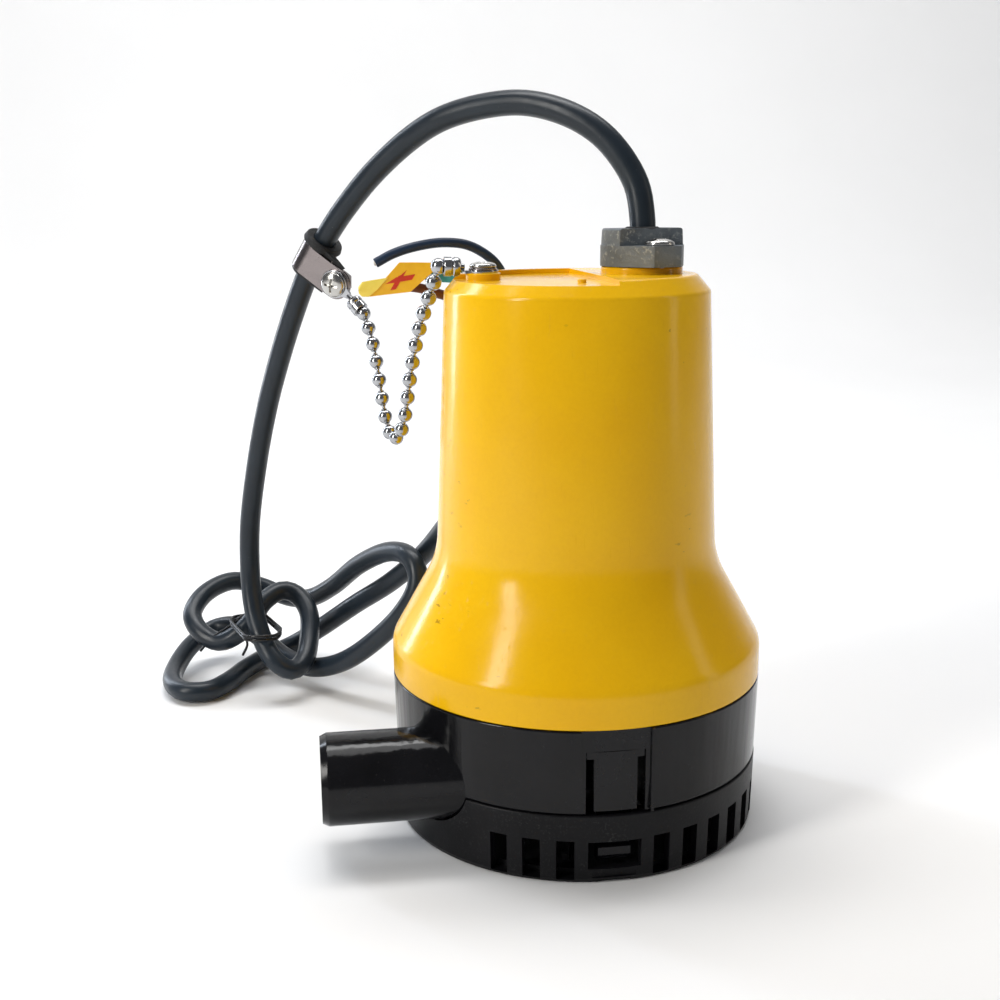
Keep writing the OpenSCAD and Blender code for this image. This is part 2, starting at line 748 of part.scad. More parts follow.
module chain_coupling_clip() {
    stem = clip_at + clip_tail * (clip_screw_x + 6) + clip_face * (band_r + coupling_t / 2);
    color("#c4c8cb") union() {
        in_clip() translate([clip_screw_x, band_r, 0]) difference() {
            union() {
                rotate([-90, 0, 0]) cylinder(r = 4.7, h = coupling_t);
                translate([0, 0, -1.4]) cube([6.4, coupling_t, 2.8]);
            }
            translate([0, -1, 0]) rotate([-90, 0, 0]) cylinder(r = clip_shank_r + 0.1, h = 4);
        }
        bead_cup(stem, chain_last);
    }
}

module ball_chain() {
    color("#c9ccce") union() {
        for (b = beads) translate(b) sphere(r = bead_d / 2, $fn = 32);
        for (i = [1:bead_count]) bar(beads[i - 1], beads[i], 0.6);
    }
}

// ---------------------------------------------------------------- cable clip

// A strip bent round the cushion, with both its legs laid together along the front
module cable_clip_band() {
    legs_t = 2 * band_t + band_gap;
    color("#b9bdc0") in_clip() difference() {
        union() {
            translate([0, 0, -band_w / 2]) cylinder(r = band_r, h = band_w);
            translate([0, band_r - legs_t, -band_w / 2]) cube([clip_screw_x, legs_t, band_w]);
            translate([clip_screw_x, band_r - legs_t, 0]) rotate([-90, 0, 0])
                cylinder(r = band_w / 2, h = legs_t);
        }
        translate([0, 0, -10]) cylinder(r = cushion_r, h = 20);
        translate([1, band_r - band_t - band_gap, -10]) cube([20, band_gap, 20]);
        translate([clip_screw_x, 0, 0]) rotate([-90, 0, 0]) cylinder(r = clip_shank_r + 0.1, h = 10);
    }
}

module cable_clip_cushion() {
    color("#151617") in_clip() difference() {
        union() {
            translate([0, 0, -band_w / 2 - 2]) cylinder(r = cushion_r, h = band_w + 3);
            translate([0, 0, -band_w / 2 - 2]) cylinder(r = band_r + 0.5, h = 2);
            translate([0, 0, band_w / 2]) cylinder(r = band_r - 0.3, h = 1);
        }
        translate([0, 0, -10]) cylinder(r = cable_d / 2 + shaft_clear, h = 20);
    }
}

module cable_clip_screw() {
    color("#d5d8da") in_clip() translate([clip_screw_x, band_r + coupling_t, 0]) rotate([-90, 0, 0])
        rotate(25) pan_screw(4.2, 2.2, clip_shank_r, 6.6);
}

module cable_clip_nut() {
    nut_h = 3.1;
    color("#b9bdc0") in_clip() translate([clip_screw_x, band_r - 2 * band_t - band_gap - nut_h, 0])
        rotate([-90, 0, 0]) difference() {
            cylinder(r = 4.1, h = nut_h, $fn = 6);
            translate([0, 0, -1]) cylinder(r = clip_shank_r, h = 6);
        }
}

// ---------------------------------------------------------------- cable, leads and tag

module power_cable() { color("#26292d") tube(cable_path, cable_d / 2, 10); }

// A wire loop drawn round two passes of the cable: two half turns joined by straights
module cable_twist_tie() {
    color("#141414") translate(tie_at) rotate(tie_angle) {
        for (turn = [0, 180]) rotate(turn) {
            translate([tie_span / 2, 0, 0]) rotate(-90) rotate_extrude(angle = 180)
                translate([tie_r, 0]) circle(r = tie_wire_r, $fn = 16);
            translate([-tie_span / 2, tie_r, 0]) rotate([0, 90, 0])
                cylinder(r = tie_wire_r, h = tie_span, $fn = 16);
        }
    }
}

module lead_blue() { color("#27405f") tube(lead_blue_path, lead_d / 2, 8); }

module lead_brown() { color("#5d3220") tube(lead_brown_path, lead_d / 2, 8); }

module upright_sheet(y, t, outline) {
    rotate(-12) translate([0, y, 0]) rotate([90, 0, 0]) linear_extrude(t) polygon(outline);
}

module polarity_tag() {
    color("#e8b820") upright_sheet(22.5, film_t, [
        [-64, 158.4], [-54, 163.4], [-41.6, 162.8], [-49, 158.3], [-50.7, 154.4], [-66.5, 152.9]
    ]);
}

module tag_backing() {
    color("#2f7f80") upright_sheet(25.4, film_t, [
        [-50, 158.2], [-43, 161.6], [-34, 163], [-37, 156.6], [-45, 157.6]
    ]);
}

// ---------------------------------------------------------------- latches

// A sprung tongue: hinge bead at the top, finger behind the strainer wall, nose in its window
module latch_tab() {
    arm_t = 2.2;
    corner_r = 1.2;
    color("#131416") difference() {
        union() {
            intersection() {
                ring(latch_face_r, latch_back_r, latch_z, latch_shoulder_z + latch_shoulder_h - latch_z);
                union() {
                    translate([40, -latch_half, latch_z - 1]) cube([20, 2 * latch_half, 20]);
                    translate([40, -latch_shoulder_half, latch_shoulder_z])
                        cube([20, 2 * latch_shoulder_half, latch_shoulder_h]);
                }
            }
            latch_pin(latch_pin_r, latch_pin_half);
            translate([nose_r, -nose_half, latch_z]) cube([4.2, 2 * nose_half, 2.6]);
            translate([nose_r, -nose_half, nose_z]) cube([arm_t, 2 * nose_half, 17]);
            translate([nose_r, -nose_half, nose_z]) rotate([90, 0, 0]) mirror([0, 0, 1])
                linear_extrude(2 * nose_half)
                    polygon([[0, 0], [arm_t, 0], [nose_out, 2.4], [nose_out, 4.6], [0, 4.6]]);
        }
        for (y = [-1, 1])
            translate([45, y * (latch_half - corner_r), latch_z + corner_r]) rotate([0, 90, 0])
                rotate(y > 0 ? 0 : -90) difference() {
                    cube([2, 2, 20]);
                    cylinder(r = corner_r, h = 20);
                }
    }
}

module latch_tab_front() { rotate(-90) latch_tab(); }
module latch_tab_rear() { rotate(90) latch_tab(); }

strainer_base();
upper_housing();
volute_casing();
casing_screws();
suction_plate();
suction_plate_screws();
casing_o_ring();
bulkhead_plate();
shaft_seal();
motor_screws();
motor_can();
motor_end_bell();
field_magnets();
lower_bearing();
upper_bearing();
brush_card();
carbon_brushes();
brush_springs();
motor_terminals();
motor_lead_positive();
motor_lead_negative();
cable_grommet();
gland_cap();
gland_screws();
chain_ring_terminal();
anchor_washer();
anchor_screw();
chain_coupling_anchor();
chain_coupling_clip();
cable_clip_band();
cable_clip_cushion();
cable_clip_screw();
cable_clip_nut();
power_cable();
cable_twist_tie();
lead_blue();
lead_brown();
polarity_tag();
tag_backing();
motor_shaft();
armature_core();
armature_windings();
commutator();
thrust_washer();
impeller();
impeller_nut();
latch_tab_front();
latch_tab_rear();
ball_chain();
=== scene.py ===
"""Looks of the bilge pump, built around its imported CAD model.

Cable, lead and light positions are in metres. Sizes of modelled pieces are in millimetres,
and mesh_object() turns them into metres.
"""

import json
from math import acos, asin, atan2, cos, degrees, pi, radians, sin, tan

import bmesh
import bpy
import numpy as np
from mathutils import Matrix, Vector, geometry


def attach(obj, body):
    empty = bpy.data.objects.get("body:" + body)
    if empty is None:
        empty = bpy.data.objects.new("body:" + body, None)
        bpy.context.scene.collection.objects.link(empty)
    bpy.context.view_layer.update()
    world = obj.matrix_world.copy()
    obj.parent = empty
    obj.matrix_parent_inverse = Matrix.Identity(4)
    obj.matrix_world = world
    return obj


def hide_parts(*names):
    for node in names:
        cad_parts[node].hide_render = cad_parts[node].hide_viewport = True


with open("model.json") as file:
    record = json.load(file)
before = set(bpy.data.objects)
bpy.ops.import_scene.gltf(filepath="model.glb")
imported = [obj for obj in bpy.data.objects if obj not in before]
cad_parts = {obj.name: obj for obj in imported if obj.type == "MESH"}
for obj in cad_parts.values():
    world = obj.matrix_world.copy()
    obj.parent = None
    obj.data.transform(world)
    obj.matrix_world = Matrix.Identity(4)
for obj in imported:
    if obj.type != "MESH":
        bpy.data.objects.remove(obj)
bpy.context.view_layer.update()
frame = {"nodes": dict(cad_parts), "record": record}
MM = 0.001
scene = bpy.context.scene


# ---- camera and surroundings

CAMERA_PLACE = (-0.0782, -0.3681, 0.1807)
CAMERA_HEADING = -8.585
CAMERA_TILT = 77.137
CAMERA_ROLL = -0.458


def spin(angle, axis="Z"):
    return Matrix.Rotation(radians(angle), 4, axis)


camera_data = bpy.data.cameras.new("camera")
camera_data.lens = 46.8
camera_data.sensor_width = 36
camera_data.clip_start = 0.01
camera = bpy.data.objects.new("camera", camera_data)
camera.location = CAMERA_PLACE
camera.rotation_euler = (spin(CAMERA_HEADING) @ spin(CAMERA_TILT, "X") @ spin(CAMERA_ROLL)).to_euler()
scene.collection.objects.link(camera)
scene.camera = camera
scene.view_settings.view_transform = "Standard"


# ---- cord routes, as in part.scad

CABLE_D = 0.0074
LEAD_D = 0.003
CABLE_ROUTE = [
    (0.019, 0, 0.153), (0.019, 0, 0.164), (0.019, 0, 0.176), (0.017, 0.002, 0.187), (0.01, 0.006, 0.198),
    (0.001, 0.012, 0.205), (-0.01, 0.021, 0.209), (-0.021, 0.03, 0.209), (-0.033, 0.039, 0.206),
    (-0.043, 0.048, 0.2), (-0.054, 0.057, 0.19), (-0.063, 0.066, 0.179), (-0.069, 0.072, 0.17),
    (-0.074, 0.077, 0.161), (-0.079, 0.083, 0.149), (-0.085, 0.091, 0.132), (-0.091, 0.099, 0.112),
    (-0.096, 0.106, 0.09), (-0.1, 0.111, 0.066), (-0.101, 0.111, 0.046), (-0.1, 0.107, 0.032),
    (-0.097, 0.101, 0.022), (-0.093, 0.096, 0.016), (-0.087, 0.096, 0.012), (-0.082, 0.102, 0.014),
    (-0.08, 0.111, 0.02), (-0.08, 0.119, 0.027), (-0.084, 0.125, 0.032), (-0.09, 0.126, 0.034),
    (-0.097, 0.122, 0.031), (-0.102, 0.117, 0.025), (-0.108, 0.116, 0.02), (-0.115, 0.119, 0.017),
    (-0.122, 0.124, 0.02), (-0.125, 0.132, 0.025), (-0.12, 0.142, 0.03), (-0.11, 0.15, 0.032),
    (-0.099, 0.154, 0.028), (-0.088, 0.15, 0.024), (-0.079, 0.141, 0.026), (-0.07, 0.129, 0.034),
    (-0.06, 0.112, 0.047), (-0.05, 0.095, 0.056), (-0.043, 0.082, 0.057), (-0.041, 0.076, 0.049),
    (-0.047, 0.078, 0.037), (-0.058, 0.088, 0.023), (-0.069, 0.098, 0.013), (-0.08, 0.109, 0.008),
    (-0.09, 0.12, 0.009), (-0.099, 0.132, 0.013), (-0.108, 0.143, 0.015), (-0.118, 0.148, 0.013),
    (-0.127, 0.14, 0.009), (-0.132, 0.126, 0.005), (-0.132, 0.112, 0.004), (-0.127, 0.102, 0.004),
    (-0.118, 0.101, 0.004), (-0.111, 0.11, 0.004), (-0.105, 0.123, 0.004), (-0.097, 0.136, 0.004),
    (-0.086, 0.138, 0.008), (-0.075, 0.13, 0.017), (-0.062, 0.116, 0.03), (-0.049, 0.103, 0.042),
    (-0.038, 0.091, 0.055), (-0.031, 0.078, 0.068), (-0.025, 0.064, 0.082), (-0.02, 0.052, 0.097),
    (-0.017, 0.044, 0.113), (-0.016, 0.041, 0.128), (-0.016, 0.04, 0.144),
]
BLUE_ROUTE = [
    (-0.014, 0.04, 0.144), (-0.013, 0.042, 0.152), (-0.015, 0.042, 0.159), (-0.019, 0.04, 0.164),
    (-0.026, 0.039, 0.168), (-0.034, 0.038, 0.169), (-0.042, 0.038, 0.168), (-0.049, 0.038, 0.166),
    (-0.055, 0.038, 0.163),
]
BROWN_ROUTE = [
    (-0.018, 0.04, 0.144), (-0.022, 0.041, 0.149), (-0.028, 0.039, 0.152), (-0.034, 0.036, 0.153),
    (-0.04, 0.035, 0.155), (-0.046, 0.035, 0.156), (-0.053, 0.036, 0.156), (-0.06, 0.037, 0.155),
]


# ---- shader nodes

def shader(name):
    """A new material's (material, node tree, principled shader)."""
    material = bpy.data.materials.new(name)
    material.use_nodes = True
    tree = material.node_tree
    return material, tree, tree.nodes["Principled BSDF"]


def plug(socket, value):
    """value is a number, a colour or another node's output."""
    if isinstance(value, bpy.types.NodeSocket):
        socket.id_data.links.new(value, socket)
    else:
        socket.default_value = value


def feed(node, **values):
    """Plugs values into the sockets of those names, with _ for a space."""
    for key, value in values.items():
        plug(node.inputs[key.replace("_", " ")], value)


def add(tree, kind, settings=None, **values):
    """A new node of that kind, with its settings and the values of its sockets."""
    node = tree.nodes.new("ShaderNode" + kind)
    for key, value in (settings or {}).items():
        setattr(node, key, value)
    feed(node, **values)
    return node


def stretched(tree, stretch=(1, 1, 1)):
    """The piece's own coordinates, in metres, multiplied by stretch."""
    place = add(tree, "TexCoord").outputs["Object"]
    return add(tree, "Mapping", Vector=place, Scale=stretch).outputs["Vector"]


def noise(tree, scale, detail=4.0, stretch=(1, 1, 1), rough=0.55, distortion=0.0):
    place = stretched(tree, stretch)
    return add(
        tree, "TexNoise", Vector=place, Scale=scale, Detail=detail, Roughness=rough,
        Distortion=distortion).outputs["Fac"]


def ramp(value, low, high, to_low=0.0, to_high=1.0):
    """value from low..high mapped to to_low..to_high, clamped."""
    return add(
        value.id_data, "MapRange", Value=value, From_Min=low, From_Max=high, To_Min=to_low,
        To_Max=to_high).outputs["Result"]


def mix(share, a, b):
    """Colours a and b mixed by share."""
    node = add(share.id_data, "Mix", {"data_type": "RGBA"})
    colour_a, colour_b = node.inputs[6], node.inputs[7]
    for socket, value in ((node.inputs[0], share), (colour_a, a), (colour_b, b)):
        plug(socket, value)
    return node.outputs[2]


def maths(operation, a, b):
    node = add(a.id_data, "Math", {"operation": operation})
    plug(node.inputs[0], a)
    plug(node.inputs[1], b)
    return node.outputs[0]


def times(a, b):
    return maths("MULTIPLY", a, b)


def plus_of(a, b):
    return maths("ADD", a, b)


def bump(shade, height, distance, strength=1.0):
    """height in 0..1 raises the surface by distance, in metres."""
    node = add(shade.id_data, "Bump", Height=height, Distance=distance, Strength=strength)
    plug(shade.inputs["Normal"], node.outputs["Normal"])


def rgb(red, green, blue):
    """A colour given as it looks on a screen, 0..255, as a linear one."""
    shares = (red / 255, green / 255, blue / 255)
    return (*[c / 12.92 if c < 0.04045 else ((c + 0.055) / 1.055) ** 2.4 for c in shares], 1.0)


def scaled(colour, share):
    return (*[c * share for c in colour[:3]], 1.0)


# ---- materials

def glossy_yellow():
    """Glossy moulded plastic with a fine grain, a few dark scuffs and shallow scratches."""
    material, tree, shade = shader("housing_yellow")
    cloud = ramp(noise(tree, 22, 3), 0.3, 0.7)
    base = mix(cloud, rgb(236, 178, 6), rgb(243, 190, 18))
    grain = ramp(noise(tree, 900, 2), 0.35, 0.75)
    base = mix(times(grain, 0.12), base, rgb(214, 150, 6))
    scuff_shape = ramp(noise(tree, 260, 3, (1, 1, 2.6)), 0.655, 0.70)
    scuff_place = ramp(noise(tree, 38, 1), 0.60, 0.68)
    base = mix(times(times(scuff_shape, scuff_place), 0.55), base, rgb(96, 66, 20))
    scratches = ramp(noise(tree, 90, 6, (14, 14, 1), 0.7), 0.62, 0.68)
    smear = ramp(noise(tree, 30, 4, distortion=0.6), 0.35, 0.75, 0.13, 0.25)
    rough = plus_of(smear, times(scratches, 0.08))
    feed(shade, Base_Color=base, Roughness=rough, Specular_IOR_Level=0.24)
    height = plus_of(times(noise(tree, 420, 2), 0.25), noise(tree, 45, 2))
    bump(shade, maths("SUBTRACT", height, times(scratches, 0.3)), 0.00022, 0.55)
    return material


def glossy_black():
    """Moulded black plastic whose reflections waver up and down the wall."""
    material, tree, shade = shader("casing_black")
    cloud = ramp(noise(tree, 60, 4), 0.3, 0.75)
    base = mix(cloud, rgb(12, 12, 14), rgb(22, 22, 25))
    dust = ramp(noise(tree, 1600, 2), 0.70, 0.78)
    base = mix(times(dust, 0.25), base, rgb(92, 90, 88))
    smear = ramp(noise(tree, 55, 5, (1, 1, 0.35), distortion=0.5), 0.3, 0.75, 0.09, 0.2)
    scratches = ramp(noise(tree, 130, 6, (1, 1, 9), 0.72), 0.62, 0.68, 0, 0.12)
    rough = plus_of(smear, scratches)
    feed(shade, Base_Color=base, Roughness=rough, Specular_IOR_Level=0.24)
    waves = noise(tree, 130, 2, (1, 1, 0.10))
    bump(shade, plus_of(waves, times(noise(tree, 700, 2), 0.06)), 0.0006, 0.45)
    return material


def grained(name, grain_size, low, high, rough_low, rough_high, depth=0.00012, speckle=0.35, gloss=0.5):
    """Matt moulded plastic with a spark-eroded grain and pale rubbed tips."""
    material, tree, shade = shader(name)
    grain = noise(tree, grain_size, 3, rough=0.65)
    base = mix(ramp(noise(tree, 70, 4), 0.3, 0.75), low, high)
    worn = ramp(noise(tree, 120, 4), 0.45, 0.7, 0.15, 1.0)
    tips = times(times(ramp(grain, 0.54, 0.66), worn), speckle)
    base = mix(tips, base, rgb(172, 175, 170))
    rough = ramp(grain, 0.3, 0.7, rough_low, rough_high)
    feed(shade, Base_Color=base, Roughness=rough, Specular_IOR_Level=gloss)
    bump(shade, grain, depth, 0.6)
    return material


def metal(name, colour, rough_low, rough_high, brush=(1, 1, 1), brush_size=900, depth=0.00003, stain=0.25):
    """Metal with a brushed or rolled grain, handling marks and a few darker stains."""
    material, tree, shade = shader(name)
    lines = noise(tree, brush_size, 5, brush, 0.7)
    base = mix(ramp(noise(tree, 160, 5), 0.5, 0.78, 0, stain), colour, scaled(colour, 0.55))
    base = mix(ramp(lines, 0.35, 0.7, 0, 0.22), base, scaled(colour, 0.8))
    wear = ramp(noise(tree, 240, 4), 0.3, 0.75, rough_low, rough_high)
    rough = plus_of(wear, ramp(lines, 0.4, 0.8, 0, 0.1))
    feed(shade, Base_Color=base, Roughness=rough, Metallic=1.0)
    bump(shade, lines, depth, 0.5)
    return material


def rubber(name, colour, rough=0.72):
    """Matt rubber with a pale bloom."""
    material, tree, shade = shader(name)
    grain = noise(tree, 1500, 3)
    base = mix(ramp(noise(tree, 180, 5), 0.45, 0.75, 0, 0.35), colour, scaled(colour, 2.0))
    feed(shade, Base_Color=base, Roughness=ramp(grain, 0.3, 0.7, rough - 0.1, rough + 0.1))
    bump(shade, grain, 0.00006, 0.5)
    return material


def sheath(name, colour, rough_low=0.33, rough_high=0.5, gloss=0.4):
    """Drawn PVC: satin, with a soft haze, dust specks and shallow scuffs."""
    material, tree, shade = shader(name)
    haze = ramp(noise(tree, 45, 5, distortion=0.4), 0.35, 0.75)
    base = mix(times(haze, 0.6), colour, scaled(colour, 1.9))
    base = mix(ramp(noise(tree, 1300, 2), 0.72, 0.80, 0, 0.3), base, rgb(120, 122, 124))
    rough = ramp(noise(tree, 300, 4), 0.3, 0.75, rough_low, rough_high)
    feed(shade, Base_Color=base, Roughness=rough, Specular_IOR_Level=gloss)
    height = plus_of(noise(tree, 240, 3), times(noise(tree, 1800, 2), 0.2))
    bump(shade, height, 0.00010, 0.5)
    return material


def printed_film(name, colour, streak, rough=0.42):
    """Soft printed label film with ink mottle and handling creases."""
    material, tree, shade = shader(name)
    base = mix(ramp(noise(tree, 500, 3), 0.35, 0.7, 0, 0.35), colour, streak)
    worn = ramp(noise(tree, 150, 4), 0.3, 0.75, rough - 0.1, rough + 0.12)
    feed(shade, Base_Color=base, Roughness=worn)
    bump(shade, noise(tree, 170, 3, distortion=0.8), 0.00025, 0.5)
    return material


def laminated(name, colour, pitch, axis, groove, rough=0.4, metallic=1.0):
    """Stacked sheets or wound wire: fine even lines across one axis, pitch metres apart."""
    material, tree, shade = shader(name)
    lines = add(
        tree, "TexWave", {"bands_direction": axis}, Vector=stretched(tree), Scale=0.314 / pitch,
        Distortion=0.3, Detail=2.0).outputs["Fac"]
    base = mix(ramp(lines, 0, 0.4), groove, colour)
    base = mix(ramp(noise(tree, 200, 5), 0.4, 0.75, 0, 0.4), base, scaled(colour, 0.5))
    worn = ramp(noise(tree, 300, 3), 0.3, 0.75, rough - 0.1, rough + 0.15)
    feed(shade, Base_Color=base, Roughness=worn, Metallic=metallic)
    bump(shade, lines, pitch * 0.25, 0.6)
    return material


NICKEL = rgb(190, 188, 184)
materials = {
    "yellow_housing": glossy_yellow(),
    "casing_black": glossy_black(),
    "strainer_black": grained(
        "strainer_black", 1500, rgb(9, 9, 12), rgb(18, 18, 21), 0.3, 0.46, 0.00007, 0.05, 0.17),
    "gland_black": grained(
        "gland_black", 760, rgb(74, 82, 90), rgb(118, 126, 132), 0.42, 0.62, 0.0004, 1.0),
    "inner_plastic": grained(
        "inner_plastic", 900, rgb(40, 42, 46), rgb(58, 60, 66), 0.42, 0.6, 0.00006, 0.15),
    "impeller_plastic": grained(
        "impeller_plastic", 700, rgb(34, 36, 40), rgb(52, 54, 60), 0.3, 0.48, 0.00005, 0.12),
    "nylon": sheath("nylon_natural", rgb(216, 210, 196), 0.35, 0.5),
    "phenolic": laminated("phenolic_board", rgb(116, 78, 46), 0.0005, "Z", rgb(84, 54, 30), 0.5, 0.0),
    "stainless": metal("stainless_brushed", rgb(140, 132, 131), 0.14, 0.24, (1, 1, 6), 500, stain=0.4),
    "screw_steel": metal("screw_nickel_plate", NICKEL, 0.12, 0.24, (1, 1, 1), 700, stain=0.15),
    "chain_nickel": metal("chain_nickel_plate", rgb(176, 177, 180), 0.08, 0.18, (1, 1, 1), 600, 0.00002, 0.2),
    "motor_steel": metal("motor_can_zinc", rgb(158, 162, 166), 0.28, 0.42, (1, 1, 8), 380, stain=0.35),
    "lamination_steel": laminated("lamination_stack", rgb(132, 136, 140), 0.0005, "Z", rgb(70, 72, 76)),
    "magnet_ferrite": grained(
        "ferrite", 1900, rgb(52, 54, 58), rgb(74, 76, 80), 0.5, 0.75, 0.00006, 0.3),
    "copper": laminated("copper_winding", rgb(186, 104, 56), 0.0006, "Z", rgb(92, 44, 20), 0.3),
    "brass_part": metal("brass", rgb(204, 168, 92), 0.2, 0.36, (1, 1, 3), 600),
    "carbon": grained("carbon_brush", 2400, rgb(36, 36, 38), rgb(58, 58, 60), 0.4, 0.6, 0.00003, 0.4),
    "rubber_black": rubber("rubber_black", rgb(24, 25, 27)),
    "cable_sheath": sheath("cable_sheath", rgb(26, 34, 42), 0.28, 0.42, 0.34),
    "lead_blue": sheath("lead_sheath_blue", rgb(24, 42, 66)),
    "lead_brown": sheath("lead_sheath_brown", rgb(96, 50, 26)),
    "tag_yellow": printed_film("tag_film_yellow", rgb(240, 186, 20), rgb(228, 164, 8)),
    "tag_teal": printed_film("tag_film_teal", rgb(52, 138, 136), rgb(34, 108, 110)),
    "tie_wire": sheath("tie_wire_black", rgb(16, 16, 18), 0.25, 0.4),
    "red_ink": printed_film("tag_ink_red", rgb(206, 54, 24), rgb(178, 36, 16)),
    "tinned_copper": metal("tinned_strands", rgb(206, 200, 190), 0.25, 0.4, (1, 1, 1), 1200),
    "pale_film": printed_film("tag_film_pale", rgb(246, 222, 96), rgb(240, 206, 64), 0.35),
}
slot_of = {part["node"]: part["material_slot"] for part in frame["record"]["subparts"]}

for node_name, node_object in frame["nodes"].items():
    if not node_object.material_slots:
        node_object.data.materials.append(None)
    for material_slot in node_object.material_slots:
        material_slot.link = "OBJECT"
        material_slot.material = materials[slot_of[node_name]]


# ---- mesh making

def stands_for(obj, node, body="pump"):
    """obj rides on body and takes node's place."""
    if body:
        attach(obj, body)
    if node:
        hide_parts(node)


def mesh_object(name, shape, material=None, node=None, body="pump", smooth=True):
    """A piece from a shape in millimetres. material is a key of materials, or None."""
    vertices, faces = shape
    mesh = bpy.data.meshes.new(name)
    mesh.from_pydata([tuple(c * MM for c in v) for v in vertices], [], faces)
    mesh.validate()
    if smooth:
        mesh.polygons.foreach_set("use_smooth", [True] * len(mesh.polygons))
    obj = bpy.data.objects.new(name, mesh)
    scene.collection.objects.link(obj)
    if material:
        mesh.materials.append(materials[material])
    stands_for(obj, node, body)
    return obj


def arc(radius, start, end, steps, x=0.0, y=0.0):
    """steps + 1 points on an arc from start to end degrees, round (x, y)."""
    angles = [radians(start + (end - start) * k / steps) for k in range(steps + 1)]
    return [(x + radius * cos(a), y + radius * sin(a)) for a in angles]


def rounded(corners, steps):
    """A closed outline of (x, y, radius) corners, each radius turned into an arc. (x, y) stays sharp."""
    outline, count = [], len(corners)
    for i, (x, y, *radius) in enumerate(corners):
        if not radius:
            outline.append((x, y))
            continue
        corner = Vector((x, y))
        to_last = Vector(corners[i - 1][:2]) - corner
        to_next = Vector(corners[(i + 1) % count][:2]) - corner
        half = to_last.angle(to_next) / 2
        back = min(radius[0] / tan(half), 0.49 * to_last.length, 0.49 * to_next.length)
        radius = back * tan(half)
        to_last.normalize()
        to_next.normalize()
        centre = corner + (to_last + to_next).normalized() * radius / sin(half)
        first = corner + to_last * back - centre
        last = corner + to_next * back - centre
        start = degrees(atan2(first.y, first.x))
        sweep = (degrees(atan2(last.y, last.x)) - start + 180) % 360 - 180
        outline += arc(radius, start, start + sweep, steps, *centre)
    return outline


def lathe(outline, count):
    """Vertices and faces of a closed (radius, height) outline turned about Z. Radius 0 closes on the axis."""
    vertices, faces, rings = [], [], []
    for r, z in outline:
        if r < 1e-6:
            rings.append([len(vertices)] * count)
            vertices.append((0, 0, z))
        else:
            rings.append([*range(len(vertices), len(vertices) + count)])
            vertices += [(x, y, z) for x, y in circle(r, count)]
    for i, ring in enumerate(rings):
        after = rings[(i + 1) % len(rings)]
        if len(set(ring)) == 1 and len(set(after)) == 1:
            continue
        for k in range(count):
            n = (k + 1) % count
            quad = [ring[k], ring[n], after[n], after[k]]
            faces.append(list(dict.fromkeys(quad)))
    return vertices, faces


def turned(corners, count, steps=4):
    """A lathe shape of an outline with rounded corners."""
    return lathe(rounded(corners, steps), count)


def prism(outline, low, high):
    """Vertices and faces of an outline in XY raised from low to high."""
    count = len(outline)
    vertices = [(x, y, low) for x, y in outline] + [(x, y, high) for x, y in outline]
    faces = [[*range(count)][::-1], [*range(count, 2 * count)]]
    faces += [[k, (k + 1) % count, count + (k + 1) % count, count + k] for k in range(count)]
    return vertices, faces


def block(x0, x1, y0, y1, z0, z1):
    return prism([(x0, y0), (x1, y0), (x1, y1), (x0, y1)], z0, z1)


def rod(radius, low, high, count):
    return prism(circle(radius, count), low, high)


def circle(radius, count):
    return arc(radius, 0, 360, count)[:-1]


def placed(shape, matrix):
    """A shape's vertices moved by a 4x4 matrix."""
    vertices, faces = shape
    return [tuple(matrix @ Vector(v)) for v in vertices], faces


def shift(x, y, z):
    return Matrix.Translation((x, y, z))


def joined(shapes):
    vertices, faces = [], []
    for more, more_faces in shapes:
        base = len(vertices)
        vertices += more
        faces += [[base + i for i in face] for face in more_faces]
    return vertices, faces


def cleaned(obj, merge=0.0):
    """Merges points closer than merge millimetres, and turns every face of a closed mesh outwards."""
    work = bmesh.new()
    work.from_mesh(obj.data)
    if merge:
        bmesh.ops.remove_doubles(work, verts=work.verts, dist=merge * MM)
        bmesh.ops.dissolve_degenerate(work, dist=merge * MM, edges=work.edges)
    bmesh.ops.recalc_face_normals(work, faces=work.faces)
    work.to_mesh(obj.data)
    work.free()


def combine(obj, shape, operation):
    """An exact boolean of obj and a closed shape."""
    tool = mesh_object("tool", shape, body=None)
    cleaned(tool)
    cleaned(obj)
    boolean = obj.modifiers.new("boolean", "BOOLEAN")
    boolean.object = tool
    boolean.operation = operation
    boolean.solver = "EXACT"
    bpy.context.view_layer.update()
    result = bpy.data.meshes.new_from_object(obj.evaluated_get(bpy.context.evaluated_depsgraph_get()))
    obj.modifiers.clear()
    old, obj.data = obj.data, result
    bpy.data.meshes.remove(old)
    bpy.data.meshes.remove(tool.data)


def cut(obj, *shapes):
    for shape in shapes:
        combine(obj, shape, "DIFFERENCE")


def join(obj, *shapes):
    for shape in shapes:
        combine(obj, shape, "UNION")


def softened(obj, width, segments, angle):
    """Rounds every edge sharper than angle by width millimetres."""
    cleaned(obj, merge=0.02)
    obj.data.polygons.foreach_set("use_smooth", [True] * len(obj.data.polygons))
    bevel = obj.modifiers.new("edge", "BEVEL")
    bevel.width = width * MM
    bevel.segments = segments
    bevel.limit_method = "ANGLE"
    bevel.angle_limit = radians(angle)
    bevel.miter_outer = "MITER_ARC"
    normals = obj.modifiers.new("normals", "WEIGHTED_NORMAL")
    normals.keep_sharp = True


